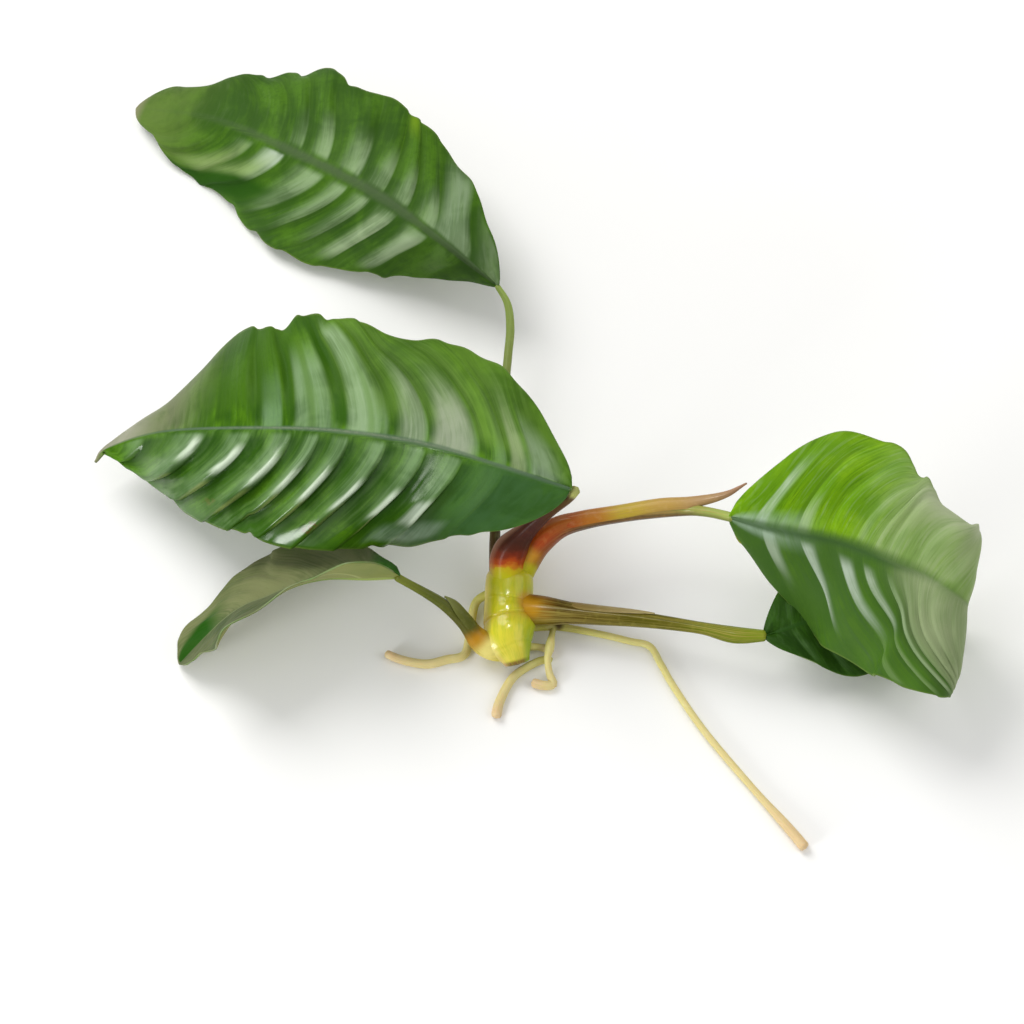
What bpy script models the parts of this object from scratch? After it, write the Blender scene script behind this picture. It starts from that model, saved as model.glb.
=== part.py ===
"""A bare-rooted anubias plant lying at rest: a short rhizome, five stalked leaves and its roots.

The origin is the middle of the flat patch under the rhizome. +Z is up and +Y runs along the rhizome to its growing end.
Routes and radii are in millimetres, at evenly spaced places. A blade's far margin is the one further from a viewer
60 degrees above the -Y side. Its lean, in degrees, is measured from the plane that faces that viewer: positive turns
the margin towards the viewer.
"""

import bmesh
import bpy
import numpy as np

MM = 0.001
GAP = 0.3  # left between pieces that grow out of each other
FACING = np.array([0.0, -0.5, 0.866])

BLADE_THICKNESS = 0.7
BLADE_COLUMNS = 10
RIB_HEIGHT = 0.7
RIB_SWEEP = 0.16

TUBE_STEP = 3.5  # between the rings of a stalk

RHIZOME = {
    "route": [(0.5, -5.2, 3.6), (0.1, -2.5, 3.9), (-0.1, 2.0, 4.0), (0.0, 6.5, 5.0), (0.2, 11.0, 7.0)],
    "radii": [2.2, 3.6, 4.0, 4.4, 4.2, 4.3, 4.4, 4.0, 4.2, 4.2, 3.9, 4.0, 3.5],
}

STALKS = {
    "stalk_upper": {
        "route": [
            (-2.7, 10.5, 6.0), (-2.5, 16, 6.6), (-2.0, 23, 7.4), (-1.4, 32.5, 8.2), (-0.9, 42.5, 9),
            (-0.2, 51, 10), (0.2, 56, 11), (-0.3, 60.4, 12.3), (-1.5, 62.9, 13.1),
        ],
        "radii": [1.2, 0.95, 0.8, 0.75, 0.75, 0.75, 0.75, 0.75],
    },
    "stalk_front": {
        "route": [
            (-0.4, 8.0, 6.5), (-0.2, 10.8, 9.5), (1.6, 12.3, 13), (5.8, 13.8, 18.5),
            (9.5, 13.4, 24.5), (10.9, 12.4, 28.7),
        ],
        "radii": [2.2, 2.1, 1.5, 1.2, 1.0, 1.1],
    },
    "stalk_right": {
        "route": [
            (1.6, 9.0, 5.6), (3.0, 11.4, 7.6), (5.0, 13.4, 10.0), (8.5, 15.2, 12.0), (13, 15.9, 13.2),
            (20.5, 16, 15.2), (28.5, 15.3, 17.5), (32.5, 13.9, 19.5), (36.4, 11.5, 21.6),
        ],
        "radii": [1.6, 2.0, 2.1, 1.65, 1.4, 1.3, 1.2, 0.85, 0.85],
    },
    "stalk_lower_right": {
        "route": [
            (2.0, 3.2, 4.8), (6, 2.7, 5.5), (15.3, 1.2, 6.5), (23.6, -0.2, 7.4), (32, -1.9, 8),
            (37.6, -3.4, 8.3), (41.9, -3.8, 8.3),
        ],
        "radii": [2.1, 1.9, 1.5, 1.3, 1.1, 1.0, 1.5, 0.9],
    },
    "stalk_left": {
        "route": [
            (-2.4, -3.4, 3.8), (-5.2, -2.5, 5.2), (-7.5, -0.8, 8), (-10.7, 0.8, 11), (-13.9, 1.8, 13.5),
            (-17.4, 3.0, 15.8),
        ],
        "radii": [2.0, 1.7, 1.1, 0.9, 0.8, 0.75],
    },
}

SHEATHS = {
    "stalk_right": {
        "route": [(19, 16.1, 14.9), (25.3, 16, 17.4), (30.5, 15.8, 18.8), (36, 16.6, 20.2), (39.6, 18.4, 21)],
        "radii": [0.9, 1.3, 1.0, 0.6, 0.3],
    },
    "stalk_left": {
        "route": [(-6.0, -1.6, 6.6), (-8.0, 0.2, 9.6), (-10.9, 2.0, 12.1)],
        "radii": [0.9, 1.0, 0.35],
    },
}

BLADES = {
    "leaf_upper": {
        "route": [
            (-2, 63.6, 13.3), (-12.3, 71.3, 16.3), (-23, 80.4, 16.8), (-38, 91.6, 14.3),
            (-54.5, 103.5, 9.3), (-70.2, 111.7, 2.3),
        ],
        "width": 35, "base": 0.8, "tip": 0.85, "ribs": 9, "arch": 0.06, "far_side": 1,
        "far_lean": [-10, -15, -29, -21, -30, -33, -33], "near_lean": [-62, -61, -41, -19, -21, 3, 5],
    },
    "leaf_front": {
        "route": [
            (10, 12, 30), (-1.5, 15.5, 31.5), (-14.5, 20.5, 30.5), (-29.5, 24.5, 28),
            (-45, 28, 23), (-59.5, 31.5, 15.5), (-71.5, 31, 7),
        ],
        "width": 40.5, "base": 0.62, "tip": 0.8, "ribs": 10, "arch": 0.06, "far_side": 1,
        "far_lean": [-31, -31, -29, -21, -36, -69, -70], "near_lean": [-33, -33, -35, -5, -3, -40, -45],
    },
    "leaf_right": {
        "route": [
            (36.5, 11.4, 22), (43.2, 8.8, 23.2), (54, 5.6, 24.6), (61.8, 1.5, 25.2), (67.7, -1.1, 25),
            (73.1, -4.9, 24.2), (79.5, -9.6, 23.7), (86, -14.4, 23.3), (92.4, -19.1, 22.7),
        ],
        "width": 37, "base": 0.6, "tip": 0.7, "ribs": 9, "arch": 0.06, "far_side": -1,
        "far_lean": [5, 5, 0, 0, 0, 0, 0], "near_lean": [-50, -45, -32, -12, -5, 0, 0],
        "far_edge": [
            (0, 0.87), (0.1, 0.95), (0.2, 1.03), (0.26, 1.06), (0.34, 1.01), (0.37, 0.88), (0.41, 0.78),
            (0.44, 0.75), (0.48, 0.67), (0.51, 0.58), (0.54, 0.57), (0.61, 0.72), (0.7, 0.75), (1, 0.85),
        ],
        "fold": {
            "line": (69.4, -3.8, 23.7), "ahead": (0.94, -0.3, 0.15), "axis": (0.23, 0.825, 0.52),
            "radius": 4.5, "angle": 108,
        },
    },
    "leaf_lower_right": {
        "route": [(42.5, -3.6, 8.3), (48.5, -1.5, 8.5), (56, 1.6, 7.6), (62, 6, 5.6), (66, 11.2, 2.8)],
        "width": 23, "base": 0.8, "tip": 0.6, "ribs": 7, "arch": 0.05, "far_side": -1,
        "far_lean": [-15, -15, -20, -20, -20, -20, -20], "near_lean": [20, 20, 5, 0, 0, 0, 0],
    },
    "leaf_left": {
        "route": [
            (-18, 3.5, 16), (-23.5, 3.2, 16), (-29.7, 3.8, 15), (-34.7, 3.2, 14), (-40, 1.8, 12),
            (-44, 1.2, 10), (-47.5, 0, 7.5), (-51.3, -2, 4), (-55.5, -5, 0.8),
        ],
        "width": 25, "base": 0.5, "tip": 0.7, "ribs": 8, "arch": 0.0, "far_side": 1,
        "far_lean": [-60, -63, -65, -61, -72, -55, -45], "near_lean": [112, 110, 96, 84, 72, 70, 70],
    },
}

ROOTS = {
    "root_left": {
        "route": [
            (-3.0, 7.6, 3.2), (-5.6, 6.4, 1.6), (-6.5, 2.5, 0.85), (-7.4, -3.0, 0.85), (-10.6, -4.2, 0.85),
            (-14.0, -5.0, 0.85), (-18.1, -4.2, 0.85), (-21.0, -2.9, 0.85),
        ],
        "radii": [0.7, 0.75, 0.75, 0.75, 0.8, 0.75, 0.7],
    },
    "root_long": {
        "route": [
            (3.4, 1.0, 2.6), (8.6, 1.8, 1.3), (15.4, 0.7, 0.8), (20.4, -0.6, 0.75), (23.8, -1.6, 0.75),
            (25.6, -5.0, 0.75), (27.8, -9.5, 0.75), (32.6, -17.6, 0.75), (39.7, -27.3, 0.75),
            (45.8, -35.2, 0.85), (48.3, -38.7, 0.95),
        ],
        "radii": [0.7, 0.65, 0.6, 0.6, 0.6, 0.6, 0.6, 0.6, 0.6, 0.6, 0.8, 0.9],
    },
    "root_side": {
        "route": [(2.8, -2.4, 2.2), (5.2, -2.0, 1.2), (7.6, -2.5, 0.8)],
        "radii": [0.7, 0.65, 0.6],
    },
    "root_front": {
        "route": [(7.4, -4.0, 0.85), (4.8, -4.6, 0.85), (0.8, -7.4, 0.85), (-1.5, -11.9, 0.9), (-2.2, -15.1, 0.95)],
        "radii": [0.65, 0.7, 0.75, 0.8, 0.9],
    },
    "root_hooked": {
        "route": [
            (7.6, 0.2, 1.5), (6.8, -2.4, 2.8), (6.4, -4.9, 2.8), (6.8, -7.0, 1.3),
            (7.5, -8.8, 0.85), (5.8, -9.0, 0.85), (3.7, -8.4, 0.85),
        ],
        "radii": [0.5, 0.6, 0.6, 0.6, 0.7, 0.8, 0.75],
    },
}


def clear_scene():
    for obj in list(bpy.data.objects):
        bpy.data.objects.remove(obj, do_unlink=True)


def new_collection(name, hidden=False):
    collection = bpy.data.collections.new(name)
    collection.hide_render = hidden
    bpy.context.scene.collection.children.link(collection)
    return collection


def new_material(name, color, roughness):
    material = bpy.data.materials.new(name)
    material.use_nodes = True
    shader = material.node_tree.nodes["Principled BSDF"]
    shader.inputs["Base Color"].default_value = (*color, 1.0)
    shader.inputs["Roughness"].default_value = roughness
    shader.inputs["Metallic"].default_value = 0.0
    material.diffuse_color = (*color, 1.0)
    return material


def spline(values, at):
    """A smooth curve through evenly numbered values, read at places from 0 to 1."""
    values = np.asarray(values, float)
    if values.ndim == 1:
        return spline(values[:, None], at)[:, 0]
    last = len(values) - 1
    padded = np.vstack([2 * values[0] - values[1], values, 2 * values[-1] - values[-2]])
    place = np.clip(np.asarray(at, float), 0, 1) * last
    left = np.minimum(place.astype(int), last - 1)
    t = (place - left)[:, None]
    a, b, c, d = (padded[left + i] for i in range(4))
    return b + 0.5 * t * (c - a + t * (2 * a - 5 * b + 4 * c - d + t * (3 * (b - c) + d - a)))


def route_points(route, at):
    """Points on the smooth curve through a route, at these fractions of its length."""
    dense = spline(route, np.linspace(0, 1, 60 * len(route)))
    run = np.concatenate([[0], np.cumsum(np.linalg.norm(np.diff(dense, axis=0), axis=1))])
    return np.stack([np.interp(at, run / run[-1], dense[:, i]) for i in range(3)], axis=1)


def route_length(route):
    dense = spline(route, np.linspace(0, 1, 200))
    return np.linalg.norm(np.diff(dense, axis=0), axis=1).sum()


def unit(vectors):
    return vectors / np.linalg.norm(vectors, axis=-1, keepdims=True)


def finish(obj, collection, material):
    collection.objects.link(obj)
    obj.data.materials.clear()
    obj.data.materials.append(material)
    for polygon in obj.data.polygons:
        polygon.use_smooth = True
    return obj


def tube(name, route, radii, collection, material, grow=0.0, step=TUBE_STEP, around=2):
    """A closed round stem along a route, with its radius at evenly spaced places."""
    rings = max(4, round(route_length(route) / step) + 1)
    at = np.linspace(0, 1, rings)
    centres = route_points(route, at)
    widths = spline(radii, at) + grow
    curve = bpy.data.curves.new(name, "CURVE")
    curve.dimensions = "3D"
    curve.bevel_depth = MM
    curve.bevel_resolution = around
    curve.use_fill_caps = True
    line = curve.splines.new("POLY")
    line.points.add(rings - 1)
    for point, centre, width in zip(line.points, centres, widths):
        point.co = (*(centre * MM), 1.0)
        point.radius = width
    guide = bpy.data.objects.new(name + "_guide", curve)
    bpy.context.scene.collection.objects.link(guide)
    graph = bpy.context.evaluated_depsgraph_get()
    mesh = bpy.data.meshes.new_from_object(guide.evaluated_get(graph))
    bpy.data.objects.remove(guide, do_unlink=True)
    work = bmesh.new()
    work.from_mesh(mesh)
    bmesh.ops.remove_doubles(work, verts=work.verts, dist=0.01 * MM)
    bmesh.ops.recalc_face_normals(work, faces=work.faces)
    work.to_mesh(mesh)
    work.free()
    mesh.name = name
    return finish(bpy.data.objects.new(name, mesh), collection, material)


def half_width(at, width, base, tip):
    """Half of a blade's width along its length: full at the base, drawn out at the tip."""
    widest = base / (base + tip)
    at = np.clip(at, 0, 1)
    return width / 2 * (at / widest) ** base * ((1 - at) / (1 - widest)) ** tip


def folded(points, fold):
    """Wraps whatever lies beyond a line round a cylinder under it, so that it hangs down."""
    axis = unit(np.array(fold["axis"]))
    ahead = unit(np.array(fold["ahead"]) - axis * np.dot(fold["ahead"], axis))
    up = np.cross(ahead, axis)
    offset = points - np.array(fold["line"])
    beyond, height, sideways = offset @ ahead, offset @ up, offset @ axis
    most = np.radians(fold["angle"])
    angle = np.clip(beyond / fold["radius"], 0, most)
    rest = np.maximum(beyond - fold["radius"] * most, 0)
    reach = np.where(beyond < 0, beyond, np.sin(angle) * (fold["radius"] + height) + rest * np.cos(most))
    rise = np.cos(angle) * (fold["radius"] + height) - fold["radius"] - rest * np.sin(most)
    return np.array(fold["line"]) + np.outer(reach, ahead) + np.outer(rise, up) + np.outer(sideways, axis)


def blade_points(leaf, along, across):
    """Points of a blade's middle surface. along runs 0 to 1 to the tip, across from -1 at the near margin to 1."""
    out = np.abs(across)
    along = along + RIB_SWEEP * out**1.4 * 4 * along * (1 - along)
    middle = route_points(leaf["route"], along)
    ahead = route_points(leaf["route"], np.clip(along + 0.01, 0, 1))
    behind = route_points(leaf["route"], np.clip(along - 0.01, 0, 1))
    run = unit(ahead - behind)
    far = unit(np.cross(run, FACING) * leaf["far_side"])
    facing = unit(np.cross(far, run) * leaf["far_side"])
    side = np.where(across >= 0, 1.0, -1.0)[:, None]
    station = 2 / np.pi * np.arcsin(np.sqrt(along))
    lean = np.where(across >= 0, spline(leaf["far_lean"], station), spline(leaf["near_lean"], station))
    lean = np.radians(lean)[:, None]
    outward = side * far * np.cos(lean) + facing * np.sin(lean)
    above = facing * np.cos(lean) - side * far * np.sin(lean)
    width = half_width(along, leaf["width"], leaf["base"], leaf["tip"])
    if "far_edge" in leaf:
        width = width * np.where(across >= 0, np.interp(along, *zip(*leaf["far_edge"])), 1)
    arch = leaf["arch"] * width * 4 * out * (1 - out)
    points = middle + outward * (width * out)[:, None] + above * arch[:, None]
    if "fold" in leaf:
        tops = folded(points + 0.1 * above, leaf["fold"])
        points = folded(points, leaf["fold"])
        above = unit(tops - points)
    return points, above


def blade(name, leaf, collection, material):
    """A ribbed leaf blade: a grid whose lines follow the side veins, bent to shape and thickened."""
    rows = 2 * leaf["ribs"] + 1
    work = bmesh.new()
    bmesh.ops.create_grid(work, x_segments=BLADE_COLUMNS, y_segments=rows, size=1.0)
    flat = np.array([vert.co[:] for vert in work.verts])
    across, along = np.sign(flat[:, 0]) * np.abs(flat[:, 0]) ** 0.8, (flat[:, 1] + 1) / 2
    points, above = blade_points(leaf, along, across)
    wave = 0.5 - 0.5 * np.cos(2 * np.pi * along * rows / 2)
    fade = np.sin(np.pi * np.clip(np.abs(across), 0, 0.85)) * np.clip(8 * along * (1 - along), 0, 1)
    points = points + above * (RIB_HEIGHT * wave * fade)[:, None]
    for vert, point in zip(work.verts, points):
        vert.co = point * MM
    bmesh.ops.remove_doubles(work, verts=work.verts, dist=0.02 * MM)
    bmesh.ops.recalc_face_normals(work, faces=work.faces)
    mesh = bpy.data.meshes.new(name)
    work.to_mesh(mesh)
    work.free()
    obj = finish(bpy.data.objects.new(name, mesh), collection, material)
    thickness = obj.modifiers.new("thickness", "SOLIDIFY")
    thickness.thickness = BLADE_THICKNESS * MM
    thickness.offset = 0.0
    return obj


def boolean(obj, other, operation):
    modifier = obj.modifiers.new(operation.lower(), "BOOLEAN")
    modifier.operation = operation
    modifier.solver = "EXACT"
    modifier.object = other
    return modifier


def cutter_of(obj):
    obj.hide_render = True
    obj.display_type = "WIRE"
    return obj


clear_scene()
plant = new_collection("anubias_plant")
cutters = new_collection("cutters", hidden=True)

rhizome_skin = new_material("rhizome_skin", (0.52, 0.50, 0.06), 0.35)
stalk_skin = new_material("stalk_skin", (0.22, 0.20, 0.04), 0.4)
blade_skin = new_material("blade_skin", (0.04, 0.16, 0.02), 0.35)
root_skin = new_material("root_skin", (0.62, 0.52, 0.24), 0.5)

rhizome = tube("rhizome", RHIZOME["route"], RHIZOME["radii"], plant, rhizome_skin, step=1.4, around=6)
floor = bpy.data.meshes.new("floor_cutter")
box = bmesh.new()
bmesh.ops.create_cube(box, size=30 * MM)
bmesh.ops.translate(box, verts=box.verts, vec=(0, 0, -15 * MM))
box.to_mesh(floor)
box.free()
floor_cutter = cutter_of(bpy.data.objects.new("floor_cutter", floor))
cutters.objects.link(floor_cutter)
boolean(rhizome, floor_cutter, "DIFFERENCE")

around_rhizome = cutter_of(
    tube("around_rhizome", RHIZOME["route"], RHIZOME["radii"], cutters, rhizome_skin, grow=GAP, step=1.4, around=6)
)

right = STALKS["stalk_right"]
around_right = cutter_of(tube("around_right", right["route"], right["radii"], cutters, stalk_skin, grow=GAP))

for name, stalk in STALKS.items():
    stem = tube(name, stalk["route"], stalk["radii"], plant, stalk_skin)
    if name in SHEATHS:
        sheath = tube(name + "_sheath", SHEATHS[name]["route"], SHEATHS[name]["radii"], cutters, stalk_skin)
        boolean(stem, cutter_of(sheath), "UNION")
    boolean(stem, around_rhizome, "DIFFERENCE")
    if name == "stalk_front":
        boolean(stem, around_right, "DIFFERENCE")

for name, root in ROOTS.items():
    stem = tube(name, root["route"], root["radii"], plant, root_skin)
    if name in ("root_left", "root_long", "root_side"):
        boolean(stem, around_rhizome, "DIFFERENCE")

for name, leaf in BLADES.items():
    blade(name, leaf, plant, blade_skin)
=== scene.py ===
import bmesh
import bpy
import numpy as np
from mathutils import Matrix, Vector


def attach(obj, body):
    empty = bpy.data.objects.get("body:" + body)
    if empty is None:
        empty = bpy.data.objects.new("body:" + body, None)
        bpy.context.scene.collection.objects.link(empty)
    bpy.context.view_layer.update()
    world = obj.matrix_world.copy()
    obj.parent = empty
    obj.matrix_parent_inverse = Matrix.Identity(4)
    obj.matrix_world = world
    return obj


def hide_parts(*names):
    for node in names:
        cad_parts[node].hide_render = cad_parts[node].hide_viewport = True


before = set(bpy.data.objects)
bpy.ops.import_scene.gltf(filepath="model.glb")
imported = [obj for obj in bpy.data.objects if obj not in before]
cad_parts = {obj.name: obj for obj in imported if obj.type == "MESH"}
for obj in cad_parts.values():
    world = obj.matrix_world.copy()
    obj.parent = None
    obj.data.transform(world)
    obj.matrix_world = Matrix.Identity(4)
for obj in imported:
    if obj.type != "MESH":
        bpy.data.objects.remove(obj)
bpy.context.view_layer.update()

mm = 0.001
facing = np.array([0.0, -0.5, 0.866])  # points from the plant to the camera
pictureUp = (0.0, 0.866, 0.5)  # upward in the photograph, square to facing

print("stage: camera, floor and light")

view = {
    "target": (0.0005, 0.0193, 0.01),
    "distance": 0.4836,
    "lens": 100.0,
    "sensor": 36.0,
    "clip": (0.01, 20.0),
    "background": (1.0, 1.0, 1.0),
    "ambient": 0.5,
    "floorColor": (0.93, 0.93, 0.925),
    "floorSize": 4.0,
}


def addObject(name, data):
    obj = bpy.data.objects.new(name, data)
    bpy.context.scene.collection.objects.link(obj)
    return obj


def aimAt(obj, place, target):
    obj.location = place
    obj.rotation_euler = (Vector(target) - Vector(place)).to_track_quat("-Z", "Y").to_euler()


cameraData = bpy.data.cameras.new("camera")
cameraData.lens = view["lens"]
cameraData.sensor_width = view["sensor"]
cameraData.clip_start, cameraData.clip_end = view["clip"]
camera = addObject("camera", cameraData)
aimAt(camera, Vector(view["target"]) + view["distance"] * Vector(facing), view["target"])
bpy.context.scene.camera = camera

lamps = {  # place, size and power of each soft light; one marked onlyGloss adds glints and no light or shade
    "backSoftbox": {"place": (-0.36, 0.42, 0.6), "size": 0.5, "power": 4.3, "color": (1.0, 0.99, 0.97)},
    "leftSoftbox": {"place": (-0.62, -0.5, 0.22), "size": 0.28, "power": 3.2, "color": (0.98, 1.0, 0.99)},
    "glintLamp": {
        "place": (-0.05, 0.02, 0.62), "size": 0.1, "power": 1.8, "color": (1.0, 1.0, 0.98), "onlyGloss": True,
    },
    "rightFill": {"place": (0.7, -0.1, 0.6), "size": 0.7, "power": 2.0, "color": (1.0, 0.98, 0.95)},
}
for name, lamp in lamps.items():
    data = bpy.data.lights.new(name, "AREA")
    data.shape = "SQUARE"
    data.size = lamp["size"]
    data.energy = lamp["power"]
    data.color = lamp["color"]
    light = addObject(name, data)
    aimAt(light, lamp["place"], view["target"])
    light.visible_diffuse = not lamp.get("onlyGloss", False)

world = bpy.data.worlds.new("paleStudio")
world.use_nodes = True
sky = world.node_tree.nodes["Background"]
sky.inputs["Color"].default_value = (*view["background"], 1.0)
sky.inputs["Strength"].default_value = view["ambient"]
bpy.context.scene.world = world
bpy.context.scene.view_settings.view_transform = "Standard"

print("stage: material helpers")


def newMaterial(name):
    material = bpy.data.materials.new(name)
    material.use_nodes = True
    return material, material.node_tree.nodes["Principled BSDF"]


def isOutput(value):
    return isinstance(value, bpy.types.NodeSocket)


def feed(node, settings):  # gives each input a number, a vector or a colour, or links it to another node's output
    for key, value in settings.items():
        if isOutput(value):
            node.id_data.links.new(value, node.inputs[key])
        else:
            node.inputs[key].default_value = (*value, 1.0) if node.inputs[key].type == "RGBA" else value


def nodeAfter(kind, settings):  # a new node in the tree of the outputs that feed it
    tree = next(value.id_data for value in settings.values() if isOutput(value))
    node = tree.nodes.new("ShaderNode" + kind)
    feed(node, settings)
    return node


def mathNode(operation, *values, clamp=False):
    node = nodeAfter("Math", dict(enumerate(values)))
    node.operation = operation
    node.use_clamp = clamp
    return node.outputs[0]


def times(*values):  # the product of masks, of which a plain 1.0 is a full one
    masks = [value for value in values if value != 1.0] or [1.0]
    total = masks[0]
    for mask in masks[1:]:
        total = mathNode("MULTIPLY", total, mask)
    return total


def between(value, low, high, fromValue=0.0, toValue=1.0):  # smooth step from low to high
    ends = {"From Min": low, "From Max": high, "To Min": fromValue, "To Max": toValue}
    node = nodeAfter("MapRange", {"Value": value, **ends})
    node.interpolation_type = "SMOOTHSTEP"
    return node.outputs["Result"]


def window(value, span, later=None):  # rises between the first two numbers, falls between the last two
    rise = between(value, span[0], span[1]) if span[1] > span[0] else 1.0
    fall = between(later or value, span[2], span[3], 1.0, 0.0) if span[3] > span[2] else 1.0
    return times(rise, fall)


def vectorNode(operation, vector, other):  # a distance from a fixed vector, or a dot product with it
    node = nodeAfter("VectorMath", {0: vector, 1: other})
    node.operation = operation
    return node.outputs["Value"]


def layered(tone, layers):  # lays each colour over the ones before it, where its mask lets it
    for mask, color in layers:
        node = mask.id_data.nodes.new("ShaderNodeMix")
        node.data_type = "RGBA"
        feed(node, {0: mask, 6: tone, 7: color})  # the factor and the two colours
        tone = node.outputs[2]
    return tone


def noiseOf(vector, scale, detail=2.0, roughness=0.5, distortion=0.0):
    grain = {"Scale": scale, "Detail": detail, "Roughness": roughness, "Distortion": distortion}
    return nodeAfter("TexNoise", {"Vector": vector, **grain}).outputs["Fac"]


def stretched(vector, scale):
    return nodeAfter("Mapping", {"Vector": vector, "Scale": scale}).outputs["Vector"]


def objectPlace(shader):
    return shader.id_data.nodes.new("ShaderNodeTexCoord").outputs["Object"]


def ownPlace(shader):  # the piece's own coordinates, kept in its attribute: whole, and one by one
    node = shader.id_data.nodes.new("ShaderNodeAttribute")
    node.attribute_name = "place"
    return node.outputs["Vector"], nodeAfter("SeparateXYZ", {0: node.outputs["Vector"]}).outputs


def colorRamp(value, stops):  # each stop is its place and its colour
    node = nodeAfter("ValToRGB", {"Fac": value})
    node.color_ramp.interpolation = "EASE"
    while len(node.color_ramp.elements) < len(stops):
        node.color_ramp.elements.new(0.5)
    for element, (place, *color) in zip(node.color_ramp.elements, stops):
        element.position = place
        element.color = (*color, 1.0)
    return node.outputs["Color"]


def addBump(shader, heights):  # each a height, its depth in metres and its strength
    last = {}
    for height, distance, strength in heights:
        node = nodeAfter("Bump", {"Height": height, "Distance": distance, "Strength": strength, **last})
        last = {"Normal": node.outputs["Normal"]}
    feed(shader, last)


floorMesh = bpy.data.meshes.new("studioFloor")
floorWork = bmesh.new()
bmesh.ops.create_grid(floorWork, x_segments=1, y_segments=1, size=view["floorSize"] / 2)
floorWork.to_mesh(floorMesh)
floorWork.free()
studioFloor = addObject("studioFloor", floorMesh)
floorPaint, floorShader = newMaterial("paleFloor")
feed(floorShader, {"Base Color": view["floorColor"], "Roughness": 0.9, "Specular IOR Level": 0.1})
floorMesh.materials.append(floorPaint)

print("stage: shape helpers")

mergeDistance = 0.004  # in millimetres, as all shapes below are
lowest = {"blade": 0.25, "sheath": 0.15, "stem": 0.0}  # no point of a grid is placed lower


def unitOf(vectors):
    return vectors / np.linalg.norm(vectors, axis=-1, keepdims=True)


def smoothCurve(values, at):  # a smooth curve through evenly numbered values
    values = np.asarray(values, float)
    if values.ndim == 1:
        return smoothCurve(values[:, None], at)[:, 0]
    last = len(values) - 1
    padded = np.vstack([2 * values[0] - values[1], values, 2 * values[-1] - values[-2]])
    place = np.clip(np.asarray(at, float), 0, 1) * last
    left = np.minimum(place.astype(int), last - 1)
    t = (place - left)[:, None]
    a, b, c, d = (padded[left + i] for i in range(4))
    return b + 0.5 * t * (c - a + t * (2 * a - 5 * b + 4 * c - d + t * (3 * (b - c) + d - a)))


def routeAt(route, at):  # points at shares of the route's length
    dense = smoothCurve(route, np.linspace(0, 1, 60 * len(route)))
    run = np.concatenate([[0], np.cumsum(np.linalg.norm(np.diff(dense, axis=0), axis=1))])
    return np.stack([np.interp(at, run / run[-1], dense[:, i]) for i in range(3)], axis=1)


def routeLength(route):
    dense = smoothCurve(route, np.linspace(0, 1, 200))
    return np.linalg.norm(np.diff(dense, axis=0), axis=1).sum()


def runAt(route, at):
    return unitOf(routeAt(route, np.clip(at + 0.01, 0, 1)) - routeAt(route, np.clip(at - 0.01, 0, 1)))


def bumpsAt(bumps, at):  # the sum of round bumps, each a place, a half length and a height
    total = np.zeros_like(at)
    for place, half, height in bumps:
        total = total + height * np.exp(-(((at - place) / half) ** 2))
    return total


# lays a grid over placing(along, across), which gives its points and what the materials read in "place"
def wrapGrid(name, columns, rows, placing, lowest, closed=False, turned=False):
    work = bmesh.new()
    bmesh.ops.create_grid(work, x_segments=columns, y_segments=rows, size=1.0)
    flat = np.array([vert.co[:] for vert in work.verts])
    points, own = placing((flat[:, 1] + 1) / 2, flat[:, 0])
    layer = work.verts.layers.float_vector.new("place")
    for vert, point, value in zip(work.verts, points, own):
        vert.co = (point[0] * mm, point[1] * mm, max(point[2], lowest) * mm)
        vert[layer] = value
    bmesh.ops.remove_doubles(work, verts=work.verts, dist=mergeDistance * mm)
    if closed:
        bmesh.ops.recalc_face_normals(work, faces=work.faces)
    if turned:
        bmesh.ops.reverse_faces(work, faces=work.faces)
    for face in work.faces:
        face.smooth = True
    mesh = bpy.data.meshes.new(name)
    work.to_mesh(mesh)
    work.free()
    return addObject(name, mesh)


def addWall(piece, thickness):
    wall = piece.modifiers.new("thickness", "SOLIDIFY")
    wall.thickness = thickness * mm
    wall.offset = 0.0
    return wall


def settle(piece, nodes, materials):
    for material in materials:
        piece.data.materials.append(material)
    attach(piece, "root")
    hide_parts(*nodes)


print("stage: blade materials")

bladeLook = {
    "deepGreen": (0.014, 0.055, 0.006),
    "freshGreen": (0.045, 0.165, 0.008),
    # the colour of painted shade in the grooves, used too for the dark vein streaks
    "grooveGreen": (0.006, 0.026, 0.003),
    # painted sheen, laid on the crests and along the veins
    "sheenGreen": (0.2, 0.3, 0.165),
    "midribGreen": (0.085, 0.135, 0.085),
    "marginGreen": (0.2, 0.3, 0.06),
    "rimGreen": (0.12, 0.2, 0.04),
    "tipTan": (0.23, 0.22, 0.13),
    "underGreen": (0.15, 0.21, 0.06),
    "underVein": (0.27, 0.33, 0.12),
    "roughness": 0.46,
    "coatRoughness": 0.15,
    "specular": 0.055,
    "underRoughness": 0.55,
    "underSpecular": 0.25,
    "rimRoughness": 0.45,
}
bladeGrain = {  # how the patterns are stretched along a blade's own coordinates, their scales and their depths
    "streakStretch": (6.0, 2.6, 2.0), "veinStretch": (13.0, 2.8, 2.8), "underStretch": (12.0, 5.0, 3.0),
    "broad": 90.0, "mottle": 1100.0, "fine": 2200.0, "underBroad": 70.0, "rim": 220.0,
    "veinDepth": 0.00012, "fineDepth": 0.00004, "underStreakDepth": 0.0001, "underVeinDepth": 0.0002,
}
bladeBasics = {  # what a blade has unless its own dictionary says otherwise
    "thickness": 0.45, "midrib": 0.28, "ribStart": 0.3, "nearSharp": 0.0, "farBumps": (), "nearBumps": (),
    "band": 0.08, "bandEnd": 0.02, "bandEnds": (0.75, 1.0), "grooveFrom": 0.55, "wedge": 0.3, "sheenRun": 0.75,
    "veinLight": 0.08, "veinDark": 0.28, "veinRelief": 0.25, "tints": (),
}


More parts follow.
